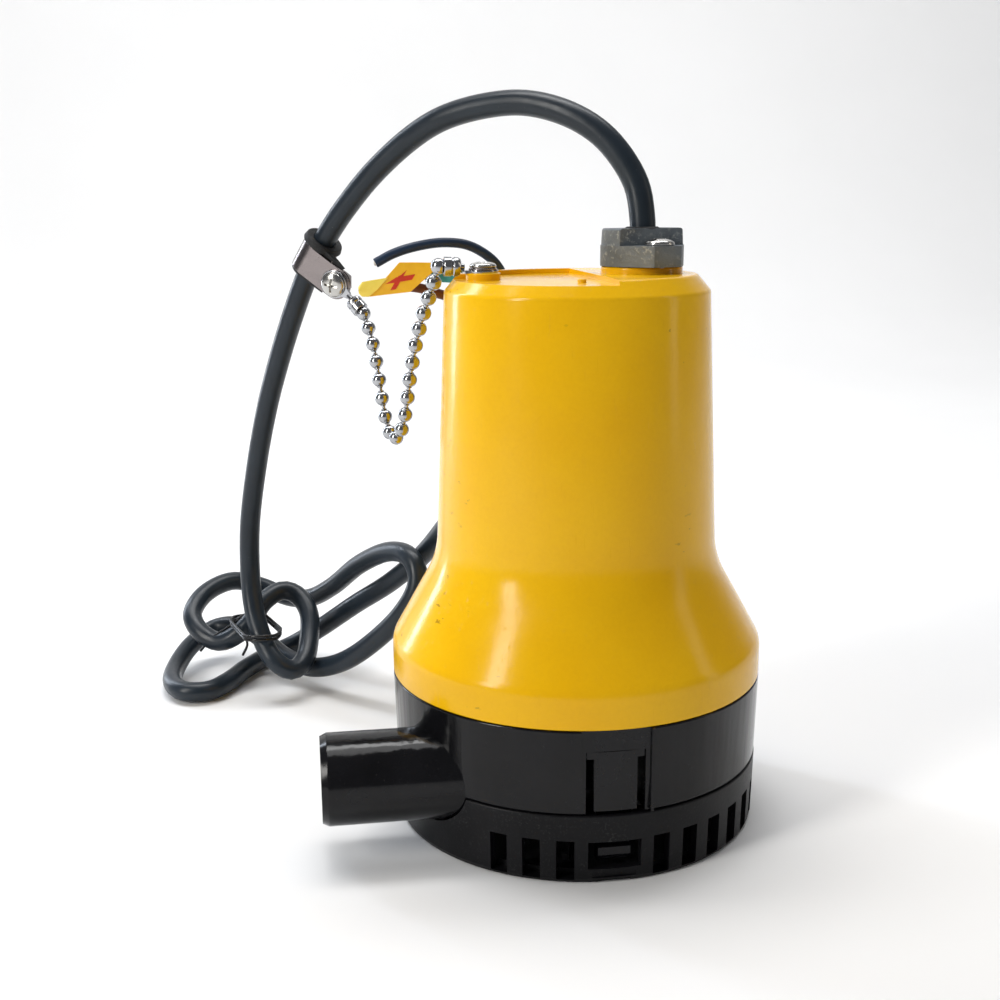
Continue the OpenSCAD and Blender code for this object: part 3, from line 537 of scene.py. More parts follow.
def smooth_route(points, step):
    """Points every step metres along a smooth (Catmull-Rom) curve through the given ones."""
    p = [np.array(q, float) for q in points]
    p = [2 * p[0] - p[1], *p, 2 * p[-1] - p[-2]]
    dense = []
    for a, b, c, d in zip(p, p[1:], p[2:], p[3:]):
        square, cube = 2 * a - 5 * b + 4 * c - d, 3 * b - a - 3 * c + d
        for t in np.linspace(0, 1, 24, endpoint=False):
            dense.append(0.5 * (2 * b + (c - a) * t + square * t**2 + cube * t**3))
    dense = np.array([*dense, p[-2]])
    run = np.concatenate([[0], np.cumsum(np.linalg.norm(np.diff(dense, axis=0), axis=1))])
    even = np.linspace(0, run[-1], max(int(run[-1] / step), 4) + 1)
    return np.stack([np.interp(even, run, dense[:, k]) for k in range(3)], axis=1)


def unit(v):
    return v / np.linalg.norm(v)


def tube(points, radius, sides):
    """A round tube, capped at both ends. radius is one number, or one for each point."""
    vertices, faces, lean = [], [], np.array([0.31, 0.95, 0.05])
    count = len(points)
    radii = np.broadcast_to(radius, count)
    for i, p in enumerate(points):
        ahead = unit(points[min(i + 1, count - 1)] - points[max(i - 1, 0)])
        lean = unit(lean - ahead * (lean @ ahead))
        across = np.cross(ahead, lean)
        vertices += [tuple(p + radii[i] * (lean * x + across * y)) for x, y in circle(1, sides)]
    for i in range(count - 1):
        for k in range(sides):
            a, b = i * sides + k, i * sides + (k + 1) % sides
            faces.append([a, b, b + sides, a + sides])
    faces += [[*range(sides)][::-1], [*range((count - 1) * sides, count * sides)]]
    return vertices, faces


def in_mm(shape):
    """A shape made in metres, in millimetres."""
    vertices, faces = shape
    return [tuple(c / MM for c in v) for v in vertices], faces


# ---- supply cable and leads

def with_rounded_ends(points, radius, lip):
    """A tube's points and radii with its two ends rounded over by lip metres."""
    start, end = points[0], points[-1]
    first, last = unit(points[1] - start), unit(end - points[-2])
    turns = [radians(a) for a in (0, 30, 60, 90)]
    head = [start + first * lip * (1 - sin(a)) for a in turns[::-1]]
    tail = [end - last * lip * (1 - sin(a)) for a in turns]
    radii = [radius - lip + lip * cos(a) for a in turns[::-1]]
    clear = lip * 1.5
    inner = [p for p in points if min(np.linalg.norm(p - start), np.linalg.norm(p - end)) > clear]
    return np.array([*head, *inner, *tail]), [*radii, *[radius] * len(inner), *radii[::-1]]


def cord_piece(name, route, diameter, material, node, step, sides, lip):
    """A cord's mesh, and its centre line as a point every step metres."""
    centre = smooth_route(route, step)
    points, radii = with_rounded_ends(centre, diameter / 2, lip)
    return mesh_object(name, in_mm(tube(points, radii, sides)), material, node), centre


cable, cable_line = cord_piece(
    "cable", CABLE_ROUTE, CABLE_D, "cable_sheath", "power_cable", step=0.0022, sides=28, lip=0.0004)
blue, blue_line = cord_piece(
    "lead_blue_sleeve", BLUE_ROUTE, LEAD_D, "lead_blue", "lead_blue", step=0.0012, sides=20, lip=0.0002)
brown, brown_line = cord_piece(
    "lead_brown_sleeve", BROWN_ROUTE, LEAD_D, "lead_brown", "lead_brown", step=0.0012, sides=20, lip=0.0002)

STRAND_R = 0.00024
STRAND_RING = 0.00052


def strands(name, line):
    """Seven tinned strands that show in the cut end of a lead."""
    end, ahead = line[-1], unit(line[-1] - line[-3])
    side = unit(np.cross(ahead, [0, 0, 1]))
    up = np.cross(side, ahead)
    shapes = []
    for k in range(7):
        a = radians(60 * k)
        root = end + (side * cos(a) + up * sin(a)) * (0 if k == 6 else STRAND_RING)
        tip = root + ahead * (0.0003 + 0.00004 * k)
        points = np.array([root - ahead * 0.002, tip - ahead * 0.0001, tip])
        shapes.append(in_mm(tube(points, [STRAND_R, STRAND_R, STRAND_R * 0.75], 10)))
    return mesh_object(name, joined(shapes), "tinned_copper")


blue_strands = strands("lead_blue_strands", blue_line)
brown_strands = strands("lead_brown_strands", brown_line)


# ---- twist tie round the hank

TIE_PLACE = (-100, 110, 25)
TIE_TURN = 108
TIE_SPAN = 16
TIE_R = 6.8
TIE_PASSES = ((-0.75, 0.0), (0.65, 0.15))
TIE_WIRE_R = 0.0005
TIE_TAILS = (
    ((-0.005, -0.001, -0.003), (-0.010, -0.001, -0.006), (-0.015, 0.001, -0.012)),
    ((0.001, -0.002, -0.004), (0.003, -0.002, -0.009), (0.001, -0.001, -0.014)))


def stadium(span, radius, steps=14):
    """A closed loop of two half turns and two straights, as points in XY."""
    return arc(radius, -90, 90, steps, span / 2) + arc(radius, 90, 270, steps, -span / 2)


def wire(points, step, radius=TIE_WIRE_R):
    """A thin wire through points in metres."""
    return in_mm(tube(smooth_route(points, step), radius, 8))


def twist_tie():
    """Two passes of tie wire round the hank, twisted together, with two loose tails."""
    place = shift(*TIE_PLACE) @ spin(TIE_TURN)
    shapes = []
    for lift, grow in TIE_PASSES:
        loop = enumerate(stadium(TIE_SPAN, TIE_R + grow))
        points = [np.array(place @ Vector((x, y, lift + 0.3 * sin(k * 0.7)))) * MM for k, (x, y) in loop]
        shapes.append(wire([*points, points[0]], 0.0009, 0.0006))
    knot = np.array(place @ Vector((TIE_SPAN / 2 + TIE_R + 0.3, 0, 0))) * MM
    out = unit(np.array([-0.35, -0.93, 0.05]))
    for phase in (0, pi):
        points = []
        for k in range(13):
            x, z = cos(phase + k * 0.9), sin(phase + k * 0.9)
            points.append(knot + out * 0.0005 * k + 0.0007 * np.array([x, 0.3 * x, z]))
        shapes.append(wire(points, 0.0006))
    base = knot + out * 0.006
    for tail in TIE_TAILS:
        shapes.append(wire([base, *[base + np.array(step) for step in tail]], 0.0008))
    return mesh_object("twist_tie", joined(shapes), "tie_wire", "cable_twist_tie")


tie = twist_tie()


# ---- polarity tag and the leaf behind it

TAG_TURN = -12
TAG_DEPTH = 22.2
TAG_ROWS = (((-63.3, 153.1), (-59, 153.6), (-55, 154.0), (-50.6, 154.5)),
            ((-53.8, 163.4), (-49.5, 163.4), (-45, 163.3), (-40.4, 163.2)))
FOLD_ROWS = (((-66.3, 154.2), (-65.4, 153.2), (-63.4, 153.1), (-60.5, 155.4)),
             ((-66.4, 156.0), (-65.2, 157.6), (-62, 158.2), (-57.2, 158.9)))
BACKING_ROWS = (((-49.5, 158.3), (-45, 157.9), (-41, 157.2), (-37.2, 157.0)),
                ((-48.5, 159.0), (-43, 161.3), (-39, 162.2), (-34.4, 162.6)))
BACKING_DEPTH = 25.1
PLUS_AT = (-54.0, 158.3)


def film(name, rows, depth, curl, thickness, material, node=None, across=30, up=14):
    """A bent sheet between a lower and an upper row of (x, z) points, in the tag's own upright plane."""
    vertices, last = [], len(rows[0]) - 1
    for j in range(up + 1):
        for i in range(across + 1):
            u, v = i / across, j / up
            k = min(int(u * last), last - 1)
            low, high = [Vector(row[k]).lerp(Vector(row[k + 1]), u * last - k) for row in rows]
            point = low.lerp(high, v)
            vertices.append(spin(TAG_TURN) @ Vector((point.x, depth + curl(u, v), point.y)))
    corners = [j * (across + 1) + i for j in range(up) for i in range(across)]
    faces = [[a, a + 1, a + across + 2, a + across + 1] for a in corners]
    piece = mesh_object(name, (vertices, faces), material, node)
    solid = piece.modifiers.new("thickness", "SOLIDIFY")
    solid.thickness = thickness * MM
    solid.offset = 0
    edge = piece.modifiers.new("edge", "BEVEL")
    edge.width = thickness * 0.3 * MM
    edge.segments = 2
    return piece


def tag_curl(u, v):
    return 0.5 * sin(u * 2.6) + 0.5 * (v - 0.5) ** 2 - 0.3


def fold_curl(u, v):
    return -0.5 * sin(v * pi) * (1 - u)


def backing_curl(u, v):
    return 0.35 * sin(u * 3.1) - 0.1


def plus_mark():
    """A plain plus sign printed on the tag, leaning with the film."""
    long_arm, short_arm = Vector((4.5, 0.7)), Vector((1.9, 3.1))
    along, up = long_arm.normalized() * 0.85, short_arm.normalized()
    half = [long_arm - up, long_arm + up, along + up, short_arm + along, short_arm - along, up - along]
    corners = [*half, *[-corner for corner in half]]
    low, high = Vector(TAG_ROWS[0][0]), Vector(TAG_ROWS[1][-1])
    vertices = []
    for face_depth in (-0.33, -0.12):
        for corner in corners:
            x, z = PLUS_AT[0] + corner.x, PLUS_AT[1] + corner.y
            curl = tag_curl((x - low.x) / (high.x - low.x), (z - low.y) / (high.y - low.y))
            vertices.append(spin(TAG_TURN) @ Vector((x, TAG_DEPTH + curl + face_depth, z)))
    faces = [face[::-1] for face in prism(corners, 0, 0)[1]]
    return mesh_object("tag_plus_mark", (vertices, faces), "red_ink", smooth=False)


tag = film("tag_film", TAG_ROWS, TAG_DEPTH, tag_curl, 0.45, "tag_yellow", "polarity_tag")
fold = film("tag_folded_end", FOLD_ROWS, TAG_DEPTH - 0.6, fold_curl, 0.4, "pale_film")
backing = film("tag_backing_film", BACKING_ROWS, BACKING_DEPTH, backing_curl, 0.45, "tag_teal", "tag_backing")
plus = plus_mark()


# ---- yellow housing

ROUND = 224  # sides of the largest round pieces
SKIRT_R = 55
SKIRT_Z = 44.5
SKIRT_TOP = 54.5
CONE_TOP = 79
BARREL_R = 41.3
BARREL_TOP_R = 38
WALL = 3
TOP_Z = 161
RECESS_DEPTH = 1.4
RECESS_X = 4
RECESS_Y = 6
RECESS_R = 30
GLAND_X = 19
ANCHOR_X = -27


def recess_outline():
    """The sunken part of the top: open to the rim in front, and round at the back."""
    start = degrees(acos(RECESS_X / RECESS_R))
    end = 180 - degrees(asin(RECESS_Y / RECESS_R))
    return [(RECESS_X, -60), *arc(RECESS_R, start, end, 40), (-60, RECESS_Y), (-60, -60)]


def housing():
    shell = turned([
        (SKIRT_R - WALL, SKIRT_Z, 0.3), (SKIRT_R, SKIRT_Z, 0.7), (SKIRT_R, SKIRT_TOP, 7),
        (BARREL_R, CONE_TOP, 27), (BARREL_TOP_R, TOP_Z - 4.6, 1.8), (BARREL_TOP_R - 3.9, TOP_Z, 1.5),
        (0, TOP_Z), (0, TOP_Z - 3.5), (32, TOP_Z - 3.5, 2), (35, TOP_Z - 6, 1.5),
        (BARREL_R - WALL + 0.4, CONE_TOP + 3, 22), (SKIRT_R - WALL, SKIRT_TOP - 1, 5)], ROUND, 8)
    piece = mesh_object("housing_shell", shell, "yellow_housing", "upper_housing")
    ring = turned([
        (7.5, TOP_Z - 4), (11.7, TOP_Z - 4), (11.7, TOP_Z + 1.9, 0.6), (9.6, TOP_Z + 1.9),
        (9.6, TOP_Z + 1.4), (7.5, TOP_Z + 1.4)], 96)
    nub = turned([(0, 159), (1.2, 159), (1.2, TOP_Z - 0.3, 0.4), (0, TOP_Z - 0.3)], 32)
    boss = turned([(0, 159), (5, 159), (5, TOP_Z + 0.6, 0.4), (0, TOP_Z + 0.6)], 72)
    at_gland, at_anchor = shift(GLAND_X, 0, 0), shift(ANCHOR_X, 0, 0)
    cut(piece, prism(recess_outline(), TOP_Z - RECESS_DEPTH, TOP_Z + 5))
    cut(piece, placed(rod(7.5, TOP_Z - 8, TOP_Z + 5, 96), at_gland))
    join(piece, placed(ring, at_gland), placed(nub, shift(-3, -21, 0)), placed(boss, at_anchor))
    cut(piece, placed(rod(1.9, TOP_Z - 12, TOP_Z + 4, 40), at_anchor))
    softened(piece, 0.45, 3, 28)


# ---- volute casing

CASING_R = 55
CASING_Z = 20.3
CASING_TOP = 44.4
CASING_FLOOR = 23.2
CHAMBER_R = 42
SPIGOT_PLACE = (-78, -25, 22.9)
SPIGOT_R = 13
SPIGOT_BORE = 11
SPIGOT_L = 52
RECESS_FACE = 53.8
LATCH_SIDES = (-90, 90)


def spigot_shape(shape):
    """A shape made along Z, laid along the spigot from its tip."""
    return placed(shape, shift(*SPIGOT_PLACE) @ spin(90, "Y"))


def casing():
    wall = turned([
        (18, CASING_Z, 0.3), (54.3, CASING_Z, 0.6), (CASING_R, CASING_TOP, 0.5), (46.2, CASING_TOP, 0.3),
        (46.2, 41, 0.2), (CHAMBER_R, 41, 0.4), (CHAMBER_R, CASING_FLOOR, 1.2),
        (18, CASING_FLOOR, 0.4)], ROUND)
    piece = mesh_object("casing_body", wall, "casing_black", "volute_casing")
    join(piece, spigot_shape(turned([
        (0, 0), (SPIGOT_R - 0.9, 0), (SPIGOT_R, 1.9, 0.8), (SPIGOT_R, 22), (SPIGOT_R + 0.3, SPIGOT_L),
        (0, SPIGOT_L)], 112, 5)))
    chamber = [(0, CASING_FLOOR), (CHAMBER_R - 0.1, CASING_FLOOR, 1.2), (CHAMBER_R - 0.1, 60), (0, 60)]
    cut(piece, turned(chamber, ROUND))
    cut(piece, spigot_shape(turned([
        (0, -2), (SPIGOT_BORE + 0.7, -2), (SPIGOT_BORE + 0.7, 0), (SPIGOT_BORE, 1.1, 0.5),
        (SPIGOT_BORE, 50, 1), (0, 50)], 112)))
    rib = block(RECESS_FACE - 0.5, RECESS_FACE + 0.95, 9.6, 10.4, CASING_Z + 0.2, CASING_TOP - 0.1)
    for side in LATCH_SIDES:
        cut(piece, placed(block(RECESS_FACE, 60, -9.5, 9.5, 15, 60), spin(side)))
        cut(piece, placed(block(46.4, 60, -8.2, 8.2, 15, 38.3), spin(side)))
        join(piece, placed(rib, spin(side)))
    softened(piece, 0.35, 3, 30)


# ---- strainer

STRAINER_H = 20
SLOT_FIRST = 14.4
SLOT_PITCH = 10
SLOT_W = 5
SLOT_COUNTS = ((-1, 3), (1, 8))


def strainer():
    basket = turned([
        (0, 0), (53.4, 0, 0.6), (54, 1.4, 0.8), (54.5, STRAINER_H, 0.5), (51.5, STRAINER_H, 0.4),
        (51.5, 2.4, 1.5), (0, 2.4)], ROUND)
    piece = mesh_object("strainer_basket", basket, "strainer_black", "strainer_base", "strainer")
    slot = block(50, 58, -SLOT_W / 2, SLOT_W / 2, 0.9, 12.5)
    slots = []
    for side in (-1, 1):
        for away, count in SLOT_COUNTS:
            angles = [side * (90 - away * (SLOT_FIRST + k * SLOT_PITCH)) for k in range(count)]
            slots += [placed(slot, spin(angle)) for angle in angles]
    cut(piece, joined(slots))
    window = [
        block(51, 58, -7.4, 7.4, 4.2, 12.2), block(48, 53.3, -5, 5, 10, 30),
        block(53.4, 58, -6.2, 6.2, 1.6, 3.0), block(52.6, 58, -4.6, 4.6, -1, 0.9)]
    for side in LATCH_SIDES:
        cut(piece, *[placed(shape, spin(side)) for shape in window])
    cut(piece, spigot_shape(rod(SPIGOT_R + 0.7, 0, 58, 96)))
    rib = block(8.4, 45.2, -1, 1, 1.6, 4)
    join(piece, *[placed(rib, spin(angle)) for angle in range(15, 360, 60)])
    join(piece, lathe([(7, 1.2), (9, 1.2), (9, 4.6), (7, 4.6)], 96))
    softened(piece, 0.3, 2, 30)


# ---- release latches

LATCH_R = 54
LATCH_BACK = 51.8
LATCH_INNER = 48.6
LATCH_PIVOT = (52.2, 0, 37)
NOSE_HALF = 4.5


def latch(name, node, body, side):
    """A sprung tongue with shoulders at its hinge and a nose below."""
    tongue = [*arc(LATCH_R, -6.3, 6.3, 16), (LATCH_BACK, 5.9), (LATCH_BACK, -5.9)]
    piece = mesh_object(name, prism(tongue, 21.2, 36.4), "casing_black", body=None)
    shoulder = [*arc(LATCH_R, -8.4, 8.4, 16), (LATCH_BACK, 7.9), (LATCH_BACK, -7.9)]
    nose = [(LATCH_INNER, 5.4), (50.8, 5.4), (53.0, 7.8), (53.0, 10.0), (LATCH_INNER, 10.0)]
    join(
        piece, prism(shoulder, 36.2, 38.2),
        placed(rod(1, -9.2, 9.2, 32), shift(*LATCH_PIVOT) @ spin(-90, "X")),
        block(LATCH_INNER, 52.8, -NOSE_HALF, NOSE_HALF, 21.2, 23.8),
        block(LATCH_INNER, 50.8, -NOSE_HALF, NOSE_HALF, 5.4, 22.4),
        placed(prism(nose, -NOSE_HALF, NOSE_HALF), spin(90, "X")))
    piece.data.transform(spin(side))
    stands_for(piece, node, body)
    softened(piece, 0.3, 3, 32)


housing()
casing()
strainer()
latch("latch_front", "latch_tab_front", "latch_front", -90)
latch("latch_rear", "latch_tab_rear", "latch_rear", 90)


# ---- screws, washer and ring terminal

GLAND_Z = 163
GLAND_TOP = 173.5
GLAND_R = 11.9
EAR_Z = 168.8
EAR_R = 10
EAR_ANGLES = (-76, 104)
EAR_CORNERS = ((14.9, -4.2), (14.9, 4.2), (14.3, -4.9), (14.3, 4.9))
ANCHOR_Z = TOP_Z - RECESS_DEPTH + 2
ANCHOR_BORE = 1.95
TERMINAL_T = 0.8
WASHER_T = 0.7


def moved(obj, matrix):
    """Moves a mesh made at the origin by a 4x4 matrix in millimetres."""
    obj.data.transform(Matrix.Scale(MM, 4) @ matrix @ Matrix.Scale(1 / MM, 4))


def pan_screw(name, radius, height, shank_r, shank_l, places, node):
    """Pan-head screws pointing down from z = 0, with a cross recess, one at each place."""
    quarter = [radians(a) for a in range(0, 90, 10)]
    dome = [(radius * cos(a) ** 0.8, height * (0.28 + 0.72 * sin(a))) for a in quarter]
    outline = [
        (0, -shank_l), (shank_r * 0.6, -shank_l), (shank_r, -shank_l + 0.8), (shank_r, 0), (radius * 0.96, 0),
        (radius, height * 0.12), *dome, (0, height)]
    piece = mesh_object(name, lathe(outline, 56), body=None)
    arm, half = radius * 0.56, radius * 0.09
    slot = block(-arm, arm, -half, half, height * 0.5, height + 1)
    cut(piece, slot, placed(slot, spin(90)), rod(radius * 0.2, height * 0.3, height + 1, 24))
    shape = ([tuple(v.co / MM) for v in piece.data.vertices], [list(p.vertices) for p in piece.data.polygons])
    bpy.data.objects.remove(piece)
    whole = mesh_object(name, joined([placed(shape, place) for place in places]), "screw_steel", node)
    softened(whole, 0.1, 2, 35)
    return whole


def anchor_stack():
    """The ring terminal, washer and screw that hold the chain to the housing."""
    seat = shift(ANCHOR_X, 0, ANCHOR_Z)
    disc = placed(rod(4.4, 0, TERMINAL_T, 72), seat)
    terminal = mesh_object("ring_terminal", disc, "chain_nickel", "chain_ring_terminal")
    neck = prism([(-6, -1.5), (-5, -2), (-3.4, -2.6), (-3.4, 2.6), (-5, 2), (-6, 1.5)], 0, TERMINAL_T)
    join(terminal, placed(neck, seat))
    cut(terminal, placed(rod(ANCHOR_BORE, -1, 3, 40), seat))
    softened(terminal, 0.14, 2, 35)
    washer = turned([
        (ANCHOR_BORE, 0, 0.1), (4, 0, 0.15), (4, 0.5, 0.2), (3.3, WASHER_T, 0.2),
        (ANCHOR_BORE, WASHER_T, 0.1)], 72)
    washer = placed(washer, seat @ shift(0, 0, TERMINAL_T))
    mesh_object("anchor_washer_disc", washer, "stainless", "anchor_washer")
    head = seat @ shift(0, 0, TERMINAL_T + WASHER_T) @ spin(20)
    pan_screw("anchor_pan_screw", 3.8, 1.6, 1.9, 11, [head], "anchor_screw")


anchor_stack()
ears = [shift(GLAND_X, 0, EAR_Z) @ spin(angle) @ shift(EAR_R, 0, 0) @ spin(30) for angle in EAR_ANGLES]
pan_screw("gland_pan_screws", 4.3, 2.0, 1.6, 11, ears, "gland_screws")


# ---- cable gland

def hull_of(points):
    return [points[i] for i in geometry.convex_hull_2d([Vector(p) for p in points])]


def gland():
    """A round cap with two ears. Facets run from its sides to the ears, and it is flat above each ear."""
    place = shift(GLAND_X, 0, 0)
    points = circle(GLAND_R, 96)
    points += [tuple((spin(angle) @ Vector((x, y, 0)))[:2]) for angle in EAR_ANGLES for x, y in EAR_CORNERS]
    base = placed(prism(hull_of(points), GLAND_Z, EAR_Z), place)
    cap = mesh_object("gland_body", base, "gland_black", "gland_cap")
    join(cap, placed(turned([
        (0, GLAND_Z), (GLAND_R, GLAND_Z), (11.42, GLAND_TOP, 0.7), (5.8, GLAND_TOP, 0.3),
        (5.4, GLAND_TOP - 0.8, 0.3), (0, GLAND_TOP - 0.8)], 144), place))
    flat = block(5.65, 20, -14, 14, EAR_Z, EAR_Z + 10)
    cut(cap, *[placed(flat, place @ spin(angle)) for angle in EAR_ANGLES])
    cut(cap, placed(rod(3.9, GLAND_Z - 2, GLAND_TOP + 2, 64), place))
    softened(cap, 0.4, 3, 30)
    lip = turned([
        (3.72, GLAND_TOP - 2), (5.3, GLAND_TOP - 2), (5.3, GLAND_TOP - 0.2, 0.3), (4.4, GLAND_TOP + 0.4, 0.4),
        (3.72, GLAND_TOP + 0.4, 0.2)], 96)
    mesh_object("gland_collar", placed(lip, place), "rubber_black")


gland()


# ---- ball chain and its couplings

CHAIN_START = Vector((-39.5, 0))
CHAIN_END = Vector((-58, 60))
CHAIN_PROFILE = [
    (0, 163.6), (6, 156.4), (14, 147), (19, 139), (23, 131), (26, 123), (29, 115.5), (33, 110.5), (38, 108.5),
    (43, 110.5), (46.5, 116), (49, 123), (52, 131), (56, 139), (62.7, 146),
]
BEAD_R = 2.3
BEAD_PITCH = 6.1
BEAD_COLLAR = [(0.6, 0), (0.98, 0.1), (0.98, 0.34), (0.6, 0.46)]
BARREL_BACK = -6.3
COUPLING_T = 0.8


def bead_centres():
    """Even steps along the chain's hanging line, from the anchor to the clip."""
    along = (CHAIN_END - CHAIN_START).normalized()
    line = [Vector((CHAIN_START.x + along.x * s, CHAIN_START.y + along.y * s, z)) for s, z in CHAIN_PROFILE]
    run = [0.0]
    for a, b in zip(line, line[1:]):
        run.append(run[-1] + (b - a).length)
    count = round(run[-1] / BEAD_PITCH)
    centres = []
    for i in range(count + 1):
        at = run[-1] * i / count
        k = min(max(j for j in range(len(run)) if run[j] <= at + 1e-6), len(line) - 2)
        centres.append(line[k].lerp(line[k + 1], (at - run[k]) / (run[k + 1] - run[k])))
    return centres


def facing(from_point, to_point):
    """A matrix that lays +Z along the way to to_point and starts at from_point."""
    way = (to_point - from_point).normalized()
    return Matrix.Translation(from_point) @ way.to_track_quat("Z", "Y").to_matrix().to_4x4()


def chain(centres):
    """Beads on their line, with a short link and two collars between each pair."""
    ball = lathe([(0, -BEAD_R), *arc(BEAD_R, -66, 66, 12), (0, BEAD_R)], 30)
    shapes = []
    for i, centre in enumerate(centres):
        behind, ahead = centres[max(i - 1, 0)], centres[min(i + 1, len(centres) - 1)]
        shapes.append(placed(ball, Matrix.Translation(centre) @ facing(behind, ahead).to_3x3().to_4x4()))
        if i:
            link, gap = facing(behind, centre), (centre - behind).length
            shapes.append(placed(rod(0.58, 1.5, gap - 1.5, 14), link))
            for base in (BEAD_R - 0.22, gap - BEAD_R - 0.24):
                shapes.append(placed(lathe(BEAD_COLLAR, 18), link @ shift(0, 0, base)))
    mesh_object("ball_chain_beads", joined(shapes), "chain_nickel", "ball_chain", "chain")


def coupling(name, node, bead, stem_start, *extras):
    """A stamped coupling: a waisted barrel with a hollow mouth for the last bead, on a short stem."""
    outline = [
        (1.5, BARREL_BACK), (2.3, BARREL_BACK + 0.3), (2.7, BARREL_BACK + 1.0), (2.7, -4.3), (2.42, -4.0),
        (2.42, -3.7), (2.72, -3.4), (2.72, -1.6), (2.6, -1.42), (2.3, -1.4), (1.66, -2.0), (1.0, -2.4)]
    shell = turned([(0, BARREL_BACK), *[(*p, 0.08) for p in outline], (0, -2.6)], 48, 2)
    place = facing(bead, stem_start) @ spin(180, "X")
    piece = mesh_object(name, placed(shell, place), "chain_nickel", node)
    stem_l = (stem_start - bead).length
    low = -stem_l if stem_l > -BARREL_BACK else BARREL_BACK - 0.6
    join(piece, placed(rod(0.9, low, BARREL_BACK + 0.6, 24), place), *extras)
    softened(piece, 0.12, 2, 40)


# ---- cable clip

CLIP_AT = Vector((-72.6, 75.6, 163.6))
CLIP_AXIS = (Vector((-74, 77, 161)) - Vector((-69, 72, 170))).normalized()
CLIP_TAIL = CLIP_AXIS.cross(Vector((0.73, -0.33, -0.59))).cross(CLIP_AXIS).normalized()
CLIP_FACE = CLIP_AXIS.cross(CLIP_TAIL)
CLIP = Matrix.Translation(CLIP_AT) @ Matrix((CLIP_TAIL, CLIP_FACE, CLIP_AXIS)).transposed().to_4x4()
CLIP_SCREW_X = 12.2
BAND_HALF = 5.2
BAND_T = 0.8
BAND_R = 6.1
BEND_R = 2.4
LEG_GAP = 0.2
CUSHION_R = 5.3
CUSHION_BORE = 3.76
NUT_R = 4.1
NUT_H = 3.1


def on_clip(depth):
    """The place on the clip's screw axis, depth millimetres out from the band's centre."""
    return CLIP @ shift(CLIP_SCREW_X, depth, 0) @ spin(-90, "X")


def ribbon(line, half):
    """The closed outline of a strip that follows a line of (x, y) points."""
    left, right = [], []
    for i, p in enumerate(line):
        ahead = (Vector(line[min(i + 1, len(line) - 1)]) - Vector(line[max(i - 1, 0)])).normalized()
        across = Vector((-ahead.y, ahead.x)) * half
        left.append(tuple(Vector(p) + across))
        right.append(tuple(Vector(p) - across))
    return left + right[::-1]


def clip_band():
    """A steel strip bent round the cushion, with both its legs laid together towards the screw."""
    middle = BAND_R - BAND_T / 2
    back_y = BAND_R - BAND_T - LEG_GAP - BAND_T / 2
    end = CLIP_SCREW_X + BAND_HALF
    line = [(end, middle), (end * 0.5, middle), (1.5, middle), *arc(middle, 90, 355, 40)]
    line += [*arc(BEND_R, 180, 90, 9, middle + BEND_R, back_y - BEND_R)[1:], (end, back_y)]
    strip = prism(ribbon(line, BAND_T / 2), -BAND_HALF, BAND_HALF)
    piece = mesh_object("clip_band_strip", strip, "stainless", body=None)
    limit = [(-12, -BAND_HALF), *arc(BAND_HALF, -90, 90, 25, CLIP_SCREW_X), (-12, BAND_HALF)]
    combine(piece, placed(prism(limit, -12, 12), spin(90, "X")), "INTERSECT")
    cut(piece, placed(rod(2.1, -1, 12, 40), shift(CLIP_SCREW_X, 0, 0) @ spin(-90, "X")))
    softened(piece, 0.16, 2, 35)
    moved(piece, CLIP)
    stands_for(piece, "cable_clip_band")
    return piece


def clip_cushion():
    """A rubber sleeve between the cable and the band, with a lip at each end and a short tail."""
    sleeve = turned([
        (CUSHION_BORE, -BAND_HALF - 2, 0.3), (6.2, -BAND_HALF - 2.3, 0.5), (6.75, -BAND_HALF - 0.1, 0.4),
        (CUSHION_R, -BAND_HALF - 0.02), (CUSHION_R, BAND_HALF), (BAND_R - 0.3, BAND_HALF),
        (BAND_R - 0.4, BAND_HALF + 0.9, 0.3), (CUSHION_BORE, BAND_HALF + 1, 0.3)], 96)
    piece = mesh_object("clip_cushion_sleeve", placed(sleeve, CLIP), "rubber_black", "cable_clip_cushion")
    lip = hull_of(circle(BAND_R - 0.45, 96) + [(9.4, BAND_R - 0.9), (9.4, BAND_R - 1.5)])
    tail = prism([(2.5, -6.9), (5.5, -6.7), (8.5, -6.1), (11.8, -5.22), (2.5, -5.22)], -5, -3)
    join(piece, placed(prism(lip, BAND_HALF + 0.03, BAND_HALF + 1), CLIP), placed(tail, CLIP @ spin(90, "X")))
    cut(piece, placed(rod(CUSHION_BORE, -12, 12, 96), CLIP))
    softened(piece, 0.2, 2, 35)
    return piece


def clip_nut():
    piece = mesh_object("clip_hex_nut", prism(circle(NUT_R, 6), 0, NUT_H), "stainless", body=None)
    chamfer = [(0, -1), (3.6, -1), (4.3, 0.7), (4.3, NUT_H - 0.7), (3.6, NUT_H + 1), (0, NUT_H + 1)]
    combine(piece, lathe(chamfer, 60), "INTERSECT")
    cut(piece, rod(2.0, -1, 6, 40))
    softened(piece, 0.12, 2, 35)
    moved(piece, on_clip(BAND_R - 2 * BAND_T - LEG_GAP - NUT_H))
    stands_for(piece, "cable_clip_nut")
    return piece


